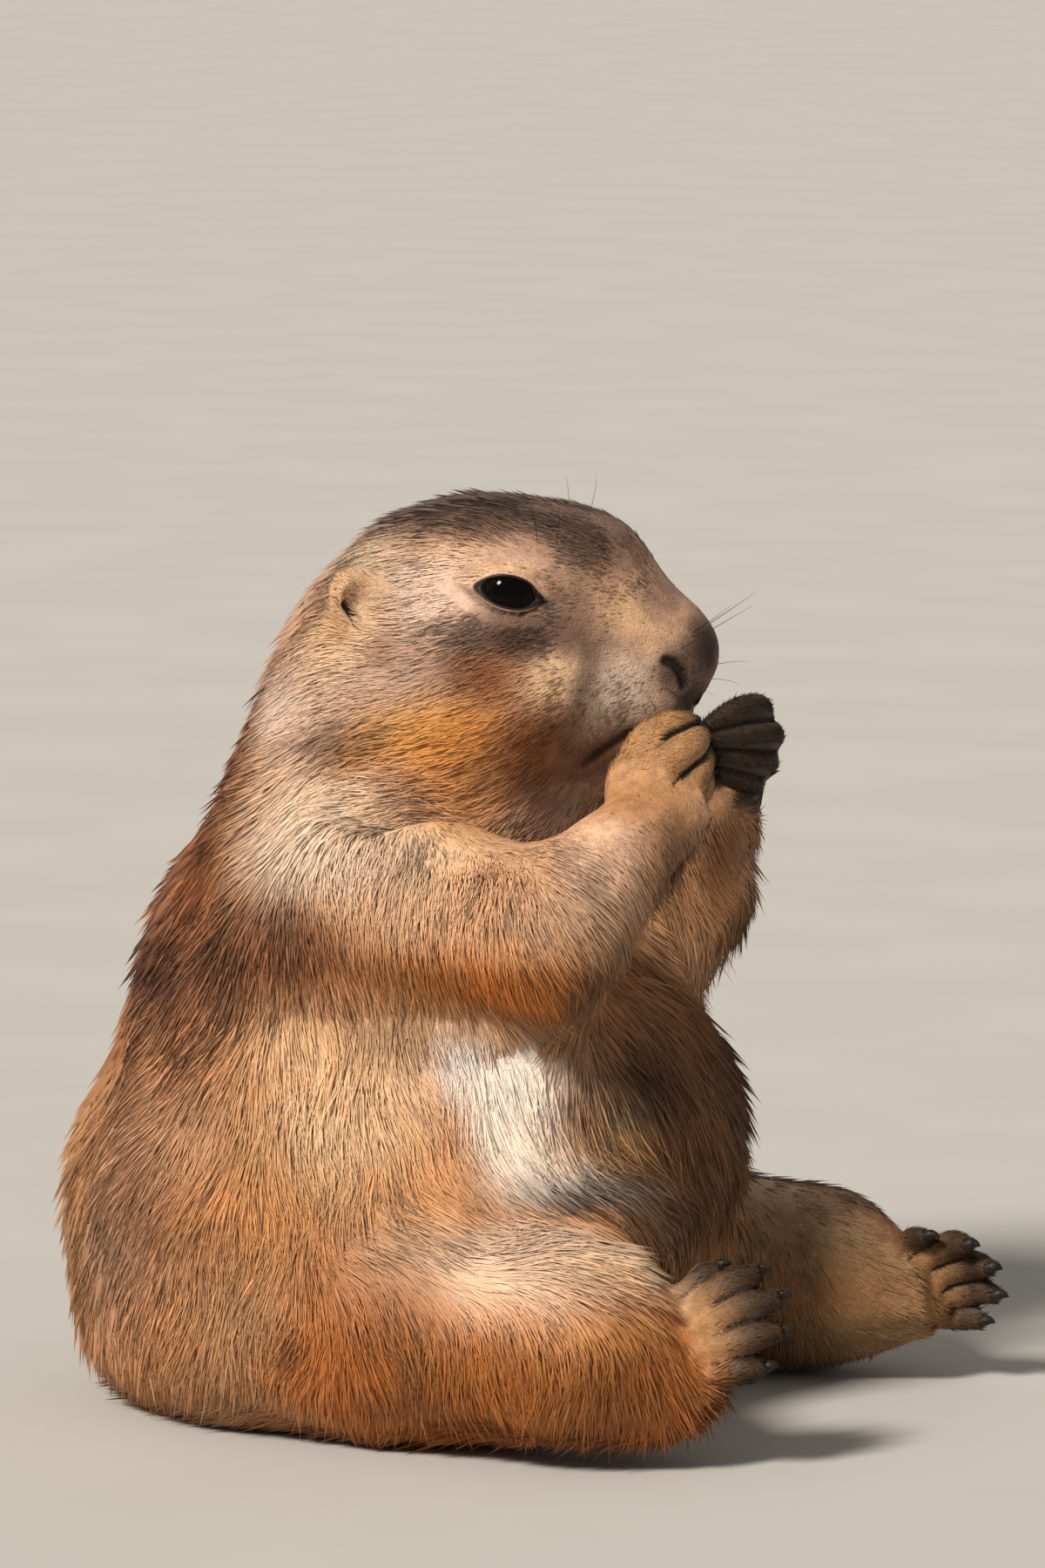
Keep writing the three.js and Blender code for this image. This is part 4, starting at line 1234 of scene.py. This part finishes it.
def base_colours(skin, tones):
    """Each part's own colour, with the leg's on the ankle and the inner side of the legs darker."""
    painted = np.array([tones[BASE_COLOUR[kind_of(part)]] for part in PARTS])[skin.part]
    for side, tone in (("right", "rust"), ("left", "inner")):
        ankle = skin.on(f"foot_{side}") * past_hair(skin.points, side, before=8)
        painted = blend(painted, tones[tone], ankle)
    facing_in = -skin.normals[:, 1] * np.sign(skin.points[:, 1])
    inner_side = skin.on("leg", "foot") * ramp(facing_in, -0.1, 0.5)
    inner_side *= np.maximum(skin.on("leg"), over_foot(skin))
    return averaged(blend(painted, tones["inner"], inner_side), skin.edges, 10)


def small_markings(skin):
    """Tone and share of the markings and painted shade over the zones, in the order in which they are
    painted.
    """
    _, far, _ = along_line(skin.points, from_limbs(TAIL_LINE))
    yield "dark", 0.9 * skin.on("tail") * ramp(far, 0.62, 0.8)
    # Painted shade: the left hand, in the near arm's shadow, made nearly black over its dark skin
    yield "far_paw", averaged(skin.on("hand_left") * 0.95, skin.edges, 3)
    # Dark bare skin between the digits and at their ends, deepened as painted shade in the gaps and at
    # the ends turned away from the light
    yield "paw_skin", ramp(skin.gap, 0.26, 0.1)
    yield "paw_skin", 0.9 * ramp(skin.digit_end, 0.62, 0.90) * skin.on("foot")
    yield "paw_skin", 0.6 * ramp(skin.digit_end, 0.8, 0.97) * skin.on("hand")
    # Painted shade along the cheek fold
    yield "fold", 0.55 * ramp(skin.fold, 4.2, 0.5)
    openings = ((skin.nostril, 1.6, 0.95), (skin.mouth, 1.6, 0.8), (skin.ear_slot, 1.3, 0.95))
    for distance, reach, strength in openings:
        yield "dark", strength * ramp(distance, reach, 0.4 * reach)
    for side in SIDES:
        local, share = around_eye(skin.points, side)
        near = ramp(share, 1.75, 1.35)
        yield "brow", 0.45 * near * ramp(local[:, 1], -0.5, 1.0)
        # Painted shade in the folds under the eye
        yield "fold", 0.6 * near * ramp(local[:, 1], 0.5, -1.0)
        yield "lid_rim", np.maximum(ramp(share, 1.17, 1.06), eye_corner(local, share))


def markings(skin, tones):
    """The coat's colour and share of dark tufts at each vertex of the skin."""
    painted = base_colours(skin, tones)
    shown = skin.points + skin.ways * (COLOUR_SHIFT * skin.length)[:, None]
    head = mirrored_head(shown)
    body = np.column_stack([shown[:, 0], -np.abs(shown[:, 1]), shown[:, 2]])
    flecks = np.full(len(body), BASE_FLECKS)
    for group in GROUP_PARTS:
        places = head if group == "head" else body
        mask = group_mask(skin, group, body)
        for tone, spot, radii, strength in ZONES[group]:
            painted = blend(painted, tones[tone], strength * zone_share(places, spot, radii) * mask)
        for spot, radii, strength in FLECKS[group]:
            flecks = np.maximum(flecks, strength * zone_share(places, spot, radii) * mask)
    for tone, share in small_markings(skin):
        painted = blend(painted, tones[tone], share)
    return painted, flecks


def creases(skin):
    """How deep in a fold each vertex lies, from 0 to 1."""
    around = averaged(skin.points, skin.edges, 3, 0.8)
    hollow = dots(around - skin.points, skin.normals)
    return averaged(ramp(hollow, 0.03, 0.28), skin.edges, 1)


def subdivide_near(thing, chosen):
    """Splits the faces whose corners are all chosen."""
    select_only(thing)
    mesh = thing.data
    bpy.ops.object.mode_set(mode="EDIT")
    bpy.ops.mesh.select_mode(type="VERT")
    bpy.ops.mesh.select_all(action="DESELECT")
    bpy.ops.object.mode_set(mode="OBJECT")
    mesh.vertices.foreach_set("select", chosen)
    bpy.ops.object.mode_set(mode="EDIT")
    bpy.ops.mesh.select_mode(type="VERT")
    bpy.ops.mesh.subdivide(number_cuts=1, smoothness=0)
    bpy.ops.mesh.select_all(action="SELECT")
    bpy.ops.mesh.quads_convert_to_tris()
    bpy.ops.object.mode_set(mode="OBJECT")


def unwrap(thing):
    """An unwrap of the skin's own shape, in its own map."""
    select_only(thing)
    thing.data.uv_layers.new(name="OFBake")
    bpy.ops.object.mode_set(mode="EDIT")
    bpy.ops.mesh.select_all(action="SELECT")
    bpy.ops.uv.smart_project(angle_limit=math.radians(66), island_margin=0.002)
    bpy.ops.object.mode_set(mode="OBJECT")


def finished(thing, material, slot, replaced=()):
    """Gives a piece its material and body. The slot is not used."""
    thing.data.materials.clear()
    thing.data.materials.append(material)
    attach(thing, "root")
    if replaced:
        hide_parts(*replaced)
    return thing


# What the skin's operator leaves for the whiskers and the coat
MADE = {}


class PRAIRIE_OT_skin(bpy.types.Operator):
    """One closed skin in place of all the flesh nodes, inside them by the coat's depth"""

    bl_idname = "prairie.skin"
    bl_label = "Skin"

    def execute(self, context):
        thing = skin_shape(context.scene.prairie_skin)
        self.split_fine_forms(thing)
        skin = Skin(thing)
        skin.sink()
        skin.commit()
        shape_face(skin)
        shape_digits(skin)
        shape_lids(skin)
        skin.commit()
        skin.painted, skin.flecks = markings(skin, palette(context.scene.prairie_colours))
        paint(thing.data, skin.painted)
        set_attribute(thing.data, "crease", "FLOAT", creases(skin))
        bpy.ops.object.shade_smooth()
        unwrap(thing)
        finished(thing, skin_finish(), "paw_skin", FLESH)
        MADE["skin"] = skin
        return {"FINISHED"}

    def split_fine_forms(self, thing):
        """A finer mesh around the lids, the nostrils and the ears' openings."""
        head = mirrored_head(coordinates(thing.data))
        near = np.linalg.norm(head - EYE_IN_HEAD, axis=1) < 12
        near |= (distance_to_line(head, NOSTRIL) < 4.5) | (distance_to_line(head, EAR_SLOT) < 4)
        subdivide_near(thing, near)


# Eyes and lid margins

EYE_BULGE = 0.035  # of the radius, in front
MARGIN_POINTS = 28
MARGIN_RADIUS = 0.3
MARGIN_OUTSIDE = 0.1  # beyond the edge of the opening
MARGIN_OVER_EYE = 0.4


class PRAIRIE_OT_eyes(bpy.types.Operator):
    """Two glossy eyeballs, each with the dark wet margin of its lids"""

    bl_idname = "prairie.eyes"
    bl_label = "Eyes"

    def execute(self, context):
        glossy = eye_finish()
        wet = wet_finish()
        for side in SIDES:
            self.eyeball(side, glossy)
            self.margin(side, wet)
        return {"FINISHED"}

    def eyeball(self, side, material):
        bpy.ops.object.select_all(action="DESELECT")
        bpy.ops.mesh.primitive_uv_sphere_add(segments=64, ring_count=40, radius=EYE_RADIUS * MM)
        ball = bpy.context.object
        ball.name = ball.data.name = f"eyeball_{side}"
        forward, _, out = eye_axes(side)
        points = coordinates(ball.data)
        front = points[:, 2] / EYE_RADIUS
        bulge = 1 + EYE_BULGE * ramp(front, 0.72, 1.0)
        set_attribute(ball.data, "iris", "FLOAT", ramp(front, 0.70, 0.76) * ramp(front, 0.93, 0.86))
        turned = (points * bulge[:, None]) @ np.stack([forward, np.cross(out, forward), out])
        set_coordinates(ball.data, turned + eyeball_centre(side))
        bpy.ops.object.shade_smooth()
        finished(ball, material, "eye", [f"eye_{side}"])

    def margin(self, side, material):
        turns = np.linspace(0, 2 * math.pi, MARGIN_POINTS, endpoint=False)
        reach, half = lid_reach(np.cos(turns), np.sin(turns))
        u = np.cos(turns) * (reach + MARGIN_OUTSIDE)
        v = np.sin(turns) * (half + MARGIN_OUTSIDE) * lid_pinch(turns)
        w = np.sqrt((EYE_RADIUS + MARGIN_OVER_EYE) ** 2 - u**2 - v**2)
        line = eyeball_centre(side) + np.column_stack([u, v, w]) @ eye_axes(side)
        radii = np.full(len(turns), MARGIN_RADIUS)
        ring = tube(f"lid_margin_{side}", line, radii, sides=10, closed=True, steps=4)
        ring.name = ring.data.name = f"lid_margin_{side}"
        bpy.ops.object.shade_smooth()
        finished(ring, material, "eye")


# Claws: how far along and down their length each point lies, and how thick a claw is

CLAW_LINE = [(-0.35, -0.14), (0.25, -0.12), (0.65, 0.04), (1.0, 0.30)]
CLAW_POINT = 0.12
FORE_THICKNESS = 0.3  # of the finger's radius
HIND_THICKNESS = 0.38  # of the toe's radius


def claw(tip, way, root):
    """A curved claw from inside the end of a finger or toe."""
    ahead = unit(way)
    line = []
    for far, drop in CLAW_LINE:
        line.append(tip + ahead * far * CLAW_LENGTH - np.array([0, 0, drop * CLAW_LENGTH]))
    return tube("claw", line, [root, root * 0.95, root * 0.6, CLAW_POINT], sides=10, steps=5)


class PRAIRIE_OT_claws(bpy.types.Operator):
    """Curved dark claws on fingers and toes"""

    bl_idname = "prairie.claws"
    bl_label = "Claws"

    def execute(self, context):
        horn = claw_finish(context.scene.prairie_colours)
        for side in SIDES:
            hand = HANDS[side]
            fingers = zip(finger_lines(side), hand["radii"])
            fore = [claw(line[-1], hand["inward"], radius * FORE_THICKNESS) for line, radius in fingers]
            ahead = foot_turn(side) @ np.array([1, 0, 0.05])
            toes = zip(toe_lines(side), TOE_RADII)
            hind = [claw(line[-1], ahead, radius * HIND_THICKNESS) for line, radius in toes]
            self.piece(f"claws_fore_{side}", fore, horn)
            self.piece(f"claws_hind_{side}", hind, horn)
        return {"FINISHED"}

    def piece(self, name, claws, material):
        made = joined(name, claws)
        bpy.ops.object.shade_smooth()
        finished(made, material, "paw_skin")


# Whiskers: root and direction in the head's frame for the left side, and length
WHISKERS = [
    ([58, 6.5, -13.5], [0.60, 1.0, 0.10], 20),
    ([56, 7.5, -15.5], [0.45, 1.0, -0.05], 24),
    ([54, 8.5, -13.5], [0.40, 1.0, 0.10], 22),
    ([53, 9.5, -17.0], [0.35, 1.0, -0.10], 24),
    ([57, 6.0, -8.5], [0.75, 0.8, 0.45], 17),
    ([59, 4.5, -6.5], [0.80, 0.6, 0.55], 15),
    ([37, 14.0, 10.5], [0.30, 0.5, 1.00], 13),
    ([34, 15.0, 11.5], [0.05, 0.5, 1.00], 11),
    ([22, 27.0, -14.0], [-0.5, 1.0, -0.10], 12),
]
WHISKER_RADII = 0.065 * np.array([1.1, 1.0, 0.85, 0.65, 0.45, 0.2])
WHISKER_BEND = HEAD_X * -0.16 + HEAD_Z * -0.10  # of its length, at its tip
WHISKER_ROOT = -0.03  # of its length, in the skin


class PRAIRIE_OT_whiskers(bpy.types.Operator):
    """Fine dark whiskers on muzzle, brow and cheek"""

    bl_idname = "prairie.whiskers"
    bl_label = "Whiskers"

    def execute(self, context):
        tree = tree_of(MADE["skin"].points)
        hair = whisker_finish()
        shares = np.linspace(WHISKER_ROOT, 1, len(WHISKER_RADII))
        for side, sign in SIDES.items():
            strands = []
            for root, way, length in WHISKERS:
                beside = from_head(np.array(root, float) * [1, sign, 1])
                start = np.array(tree.find(beside)[0])
                way = unit(np.array(way) * [1, sign, 1]) @ HEAD_TURN
                line = start + length * (np.outer(shares, way) + np.outer(shares**2, WHISKER_BEND))
                strands.append(tube("whisker", line, WHISKER_RADII, sides=6, steps=3))
            piece = joined(f"whiskers_{side}", strands)
            bpy.ops.object.shade_smooth()
            finished(piece, hair, "face_coat")
        return {"FINISHED"}


# Coat

# A tuft is a closed blade: root, two corners where it is widest, and tip, flat above and keeled below
TUFT_FACES = [[0, 2, 1], [1, 2, 3], [0, 1, 3], [0, 3, 2]]
TUFT_SPREAD = [[0, -0.5], [0.5, 0], [-0.5, 0], [0, 0.5]]  # of its corners over its patch
WIDEST = 0.45  # of a tuft's length
TUFT_SHARES = [0, WIDEST, WIDEST, 1]
ROOT_DEPTH = 0.25  # in the skin
PATCH = 0.003  # of the unwrap, that a tuft takes
COAT_OVER_FLOOR = 0.15
GUARD_SHARE = 0.05  # of the tufts, that are longer guard hairs


def triangles_of(mesh):
    """Each triangle's corners, as vertices and as loops."""
    mesh.calc_loop_triangles()
    return (read(mesh.loop_triangles, key, 3, np.int32) for key in ("vertices", "loops"))


def ripple(places, size, rng):
    """A smooth random field over space, about 1 high, whose waves are a few sizes long."""
    waves = 7
    ways = unit(rng.normal(size=(waves, 3))) / size
    phases = rng.random(waves) * 2 * math.pi
    return np.sin(places @ ways.T + phases).sum(1) / math.sqrt(waves / 2)


class Roots:
    """Tuft roots scattered evenly over the skin, with what each tuft needs."""

    def __init__(self, skin, count_at, rng):
        mesh = skin.thing.data
        corners, loops = triangles_of(mesh)
        a, b, c = (skin.points[corners[:, i]] for i in range(3))
        area = np.linalg.norm(np.cross(b - a, c - a), axis=1) / 2
        wanted = np.cumsum(area * count_at[corners].mean(1)) + rng.random()
        number = np.diff(np.floor(wanted), prepend=0).astype(int)
        chosen = np.repeat(np.arange(len(corners)), number)
        first, second = rng.random((2, len(chosen)))
        flip = first + second > 1
        first[flip], second[flip] = 1 - first[flip], 1 - second[flip]
        self.corners = corners[chosen]
        self.weights = np.column_stack([1 - first - second, first, second])
        self.place = self.pick(skin.points)
        self.normal = unit(self.pick(skin.normals))
        self.way = unit(self.pick(skin.ways))
        self.length = self.pick(skin.length)
        self.width = self.pick(skin.width)
        self.lift = self.pick(skin.lift)
        self.colour = self.pick(skin.painted)
        self.flecks = self.pick(skin.flecks)
        self.part = skin.part[self.corners[:, 0]]
        uv = read(mesh.uv_layers["OFBake"].data, "uv", 2)
        self.uv = np.einsum("ij,ijk->ik", self.weights, uv[loops[chosen]])

    def pick(self, rows):
        """Values on the skin's vertices, as they are at each root."""
        values = rows[self.corners]
        if values.ndim == 2:
            return (values * self.weights).sum(1)
        return np.einsum("ij,ijk->ik", self.weights, values)

    def only(self, kept):
        """The chosen roots alone."""
        part = Roots.__new__(Roots)
        part.__dict__.update({key: rows[kept] for key, rows in vars(self).items()})
        return part

    def vary(self, rng):
        """The small differences from one tuft and one lock to the next."""
        n = len(self.place)
        size = np.clip(self.length / 8, 0.3, 1.2)
        guard = rng.random(n) < GUARD_SHARE
        self.length = self.length * (0.68 + 0.42 * rng.random(n) + 0.25 * guard)
        sway = rng.normal(0, 0.13, n) + 0.15 * size * ripple(self.place, 2.6, rng)
        sway += 0.12 * size * ripple(self.place, 7.0, rng)
        side = np.cross(self.normal, self.way)
        self.way = unit(self.way * np.cos(sway)[:, None] + side * np.sin(sway)[:, None])
        lift = self.lift + rng.normal(0, 2.3, n) + 2.0 * ripple(self.place, 3.5, rng) + 6 * guard
        self.lift = np.radians(np.clip(lift, 3, 60))
        tint = 1 + rng.normal(0, 0.10, n) + 0.06 * ripple(self.place, 1.6, rng)
        tint += 0.05 * ripple(self.place, 6.0, rng)
        warm = rng.normal(0, 0.04, n) + 0.04 * ripple(self.place, 4.0, rng)
        self.colour = self.colour * np.clip(tint, 0.55, 1.5)[:, None]
        self.colour = self.colour * np.column_stack([1 + warm, np.ones(n), 1 - warm])
        chance = self.flecks * np.clip(1 + 0.8 * ripple(self.place, 1.8, rng), 0.1, 2)
        self.dark = np.where(rng.random(n) < chance, 0.6 + 0.35 * rng.random(n), 0)
        self.length = self.length * (1 + 0.1 * self.dark) + 0.8 * self.dark
        self.width = self.width * (1 + 0.25 * self.dark)
        self.lift = self.lift + math.radians(2.5) * self.dark
        return self


def tuft_rows(roots, dark_tone):
    """Corners, normals, colours and map places of every tuft, four rows a tuft."""
    normal, way = roots.normal, roots.way
    side = np.cross(normal, way)
    length, width, lift = roots.length[:, None], roots.width[:, None], roots.lift[:, None]
    root = roots.place - normal * ROOT_DEPTH
    # A tuft rises steeply at first, and its outer half lies flatter
    first = way * np.cos(lift * 1.3) + normal * np.sin(lift * 1.3)
    second = way * np.cos(lift * 0.6) + normal * np.sin(lift * 0.6)
    halfway = root + first * length * WIDEST
    tip = halfway + second * length * (1 - WIDEST)
    half = width / 2
    points = [root, halfway + side * half, halfway - side * half, tip]
    lights = [normal, unit(normal + side * 0.35), unit(normal - side * 0.35), unit(normal + way * 0.15)]
    middle_colour = blend(roots.colour, dark_tone, roots.dark * 0.6)
    colours = [roots.colour, middle_colour, middle_colour, blend(roots.colour, dark_tone, roots.dark)]
    maps = roots.uv[:, None, :] + np.array(TUFT_SPREAD)[None] * PATCH
    return np.stack(points, 1), np.stack(lights, 1), np.stack(colours, 1), maps


def coat_piece(name, roots, dark_tone):
    """One mesh of tufts."""
    rows = tuft_rows(roots, dark_tone)
    points, lights, colours, maps = (values.reshape(-1, values.shape[-1]) for values in rows)
    count = len(roots.place)
    corners = len(TUFT_SHARES)
    faces = (np.arange(count)[:, None, None] * corners + np.array(TUFT_FACES)).reshape(-1, 3)
    points[:, 2] = np.maximum(points[:, 2], COAT_OVER_FLOOR)
    mesh = bpy.data.meshes.new(name)
    mesh.vertices.add(len(points))
    mesh.vertices.foreach_set("co", (points * MM).astype(np.float32).ravel())
    mesh.loops.add(faces.size)
    mesh.loops.foreach_set("vertex_index", faces.ravel().astype(np.int32))
    mesh.polygons.add(len(faces))
    mesh.polygons.foreach_set("loop_start", np.arange(0, faces.size, 3, dtype=np.int32))
    mesh.update(calc_edges=True)
    mesh.polygons.foreach_set("use_smooth", np.ones(len(faces), bool))
    paint(mesh, np.clip(colours, 0.002, 1))
    set_attribute(mesh, "strand", "FLOAT", np.tile(TUFT_SHARES, count))
    set_attribute(mesh, "custom_normal", "FLOAT_VECTOR", lights)
    layer = mesh.uv_layers.new(name="OFBake")
    layer.data.foreach_set("uv", maps[faces.ravel()].astype(np.float32).ravel())
    return new_object(name, mesh)


def trunk_sectors(places):
    """Which coat piece of the trunk each place belongs to, by its turn round an upright line."""
    turn = np.degrees(np.arctan2(places[:, 1], places[:, 0] + 20))
    names = np.where(places[:, 2] > 72, "coat_back_upper", "coat_back_lower").astype(object)
    names[np.abs(turn) < 55] = "coat_front"
    names[(turn >= 55) & (turn < 125)] = "coat_flank_left"
    names[(turn <= -55) & (turn > -125)] = "coat_flank_right"
    return names


def piece_names(roots):
    """The coat piece that each tuft belongs to."""
    kinds = np.array([kind_of(part) for part in PARTS])[roots.part]
    labels = np.array([f"coat_{part}" for part in PARTS], dtype=object)[roots.part]
    labels = np.where(kinds == "trunk", trunk_sectors(roots.place), labels)
    on_head = np.isin(kinds, ["head", "ear"])
    right = to_head(roots.place)[:, 1] < 0
    labels[on_head & right] = "coat_head_right"
    labels[on_head & ~right] = "coat_head_left"
    labels[np.isin(kinds, ["hand", "foot"])] = "coat_paws"
    return labels


# By the second word of a coat piece's name
SLOT_OF = {
    "head": "face_coat",
    "tail": "tail_coat",
    "paws": "paw_skin",
    "arm": "limb_coat",
    "leg": "limb_coat",
}


def hair_allowed(skin):
    """0 where the skin is bare: lids, nostrils, lips, ear openings, between digits and under the seat."""
    allowed = np.ones(len(skin.points))
    for side in SIDES:
        local, share = around_eye(skin.points, side)
        allowed *= ramp(share, 1.10, 1.28) * (1 - eye_corner(local, share))
    allowed *= ramp(skin.nostril, 0.9, 1.8) * ramp(skin.mouth, 0.5, 1.2) * ramp(skin.ear_slot, 0.5, 1.1)
    allowed *= ramp(skin.gap, 0.06, 0.2)
    return allowed * ramp(skin.points[:, 2], 0.5, 1.5)


class PRAIRIE_OT_coat(bpy.types.Operator):
    """Tufts of fur all over the skin, one piece for each part of the body"""

    bl_idname = "prairie.coat"
    bl_label = "Coat"

    def execute(self, context):
        settings = context.scene.prairie_coat
        fleck = palette(context.scene.prairie_colours)["fleck"]
        skin = MADE["skin"]
        rng = np.random.default_rng(settings.seed)
        roots = Roots(skin, skin.count * hair_allowed(skin) * settings.amount, rng)
        roots.length = roots.length * settings.length
        roots.width = roots.width * settings.width
        roots.vary(rng)
        material = coat_finish()
        names = piece_names(roots)
        for name in sorted(set(names)):
            piece = coat_piece(name, roots.only(names == name), fleck)
            finished(piece, material, SLOT_OF.get(name.split("_")[1], "body_coat"))
        return {"FINISHED"}


# Stage

FLOOR_SIZE = 60
LOOK_AT = [17.5, 21.4, 111.2]  # in the limbs' frame


class PRAIRIE_OT_stage(bpy.types.Operator):
    """Pale floor, soft light and the camera"""

    bl_idname = "prairie.stage"
    bl_label = "Stage"

    def execute(self, context):
        scene = context.scene
        settings = scene.prairie_stage
        self.floor()
        self.camera(scene, settings)
        self.key_light(settings)
        self.world(scene, settings)
        scene.view_settings.view_transform = "Standard"
        return {"FINISHED"}

    def floor(self):
        bpy.ops.object.select_all(action="DESELECT")
        bpy.ops.mesh.primitive_plane_add(size=FLOOR_SIZE)
        floor = bpy.context.object
        floor.name = floor.data.name = "floor"
        floor.data.materials.append(floor_finish())
        floor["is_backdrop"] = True

    def camera(self, scene, settings):
        turn = settings.azimuth
        back = Vector((math.sin(turn), -math.cos(turn), 0)) * math.cos(settings.height)
        back.z = math.sin(settings.height)
        data = bpy.data.cameras.new("camera")
        data.lens = settings.lens
        data.sensor_fit = "VERTICAL"
        data.sensor_height = 36
        data.clip_end = 100
        camera = new_object("camera", data)
        camera.location = Vector(from_limbs(LOOK_AT)) * MM + back * settings.distance
        camera.rotation_euler = back.to_track_quat("Z", "Y").to_euler()
        scene.camera = camera

    def key_light(self, settings):
        data = bpy.data.lights.new("key_light", "SUN")
        data.energy = settings.key
        data.angle = settings.softness
        data.color = KEY_WARM
        lamp = new_object("key_light", data)
        turn = settings.azimuth - settings.key_turn
        way = Vector((math.sin(turn), -math.cos(turn), math.tan(settings.key_rise)))
        lamp.location = way.normalized() * 2
        lamp.rotation_euler = way.to_track_quat("Z", "Y").to_euler()

    def world(self, scene, settings):
        world = bpy.data.worlds.new("surroundings")
        world.use_nodes = True
        shader = world.node_tree.nodes["Background"]
        shader.inputs["Color"].default_value = SKY_BEIGE
        shader.inputs["Strength"].default_value = settings.sky
        scene.world = world


# Panel, registration and the run

OPERATORS = [
    PRAIRIE_OT_stage,
    PRAIRIE_OT_skin,
    PRAIRIE_OT_eyes,
    PRAIRIE_OT_claws,
    PRAIRIE_OT_whiskers,
    PRAIRIE_OT_coat,
]
GROUPS = {
    "prairie_colours": PrairieColours,
    "prairie_skin": PrairieSkin,
    "prairie_coat": PrairieCoat,
    "prairie_stage": PrairieStage,
}


class PRAIRIE_PT_panel(bpy.types.Panel):
    """The operators, and below them all their settings"""

    bl_label = "Prairie dog"
    bl_space_type = "VIEW_3D"
    bl_region_type = "UI"
    bl_category = "Prairie dog"

    def draw(self, context):
        for operator in OPERATORS:
            self.layout.operator(operator.bl_idname)
        for name in GROUPS:
            group = getattr(context.scene, name)
            box = self.layout.box()
            for key in group.bl_rna.properties.keys():
                if key not in ("rna_type", "name"):
                    box.prop(group, key)


def register():
    for cls in [*GROUPS.values(), *OPERATORS, PRAIRIE_PT_panel]:
        bpy.utils.register_class(cls)
    for name, group in GROUPS.items():
        setattr(bpy.types.Scene, name, PointerProperty(type=group))


def unregister():
    for name in GROUPS:
        delattr(bpy.types.Scene, name)
    for cls in [PRAIRIE_PT_panel, *OPERATORS, *GROUPS.values()]:
        bpy.utils.unregister_class(cls)


def main():
    register()
    bpy.ops.prairie.stage()
    bpy.ops.prairie.skin()
    bpy.ops.prairie.eyes()
    bpy.ops.prairie.claws()
    bpy.ops.prairie.whiskers()
    bpy.ops.prairie.coat()
    boxes = {"cad": CAD_BOX, "visual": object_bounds()}
    plain = {name: [list(corner) for corner in box] for name, box in boxes.items()}


if __name__ == "__main__":
    main()
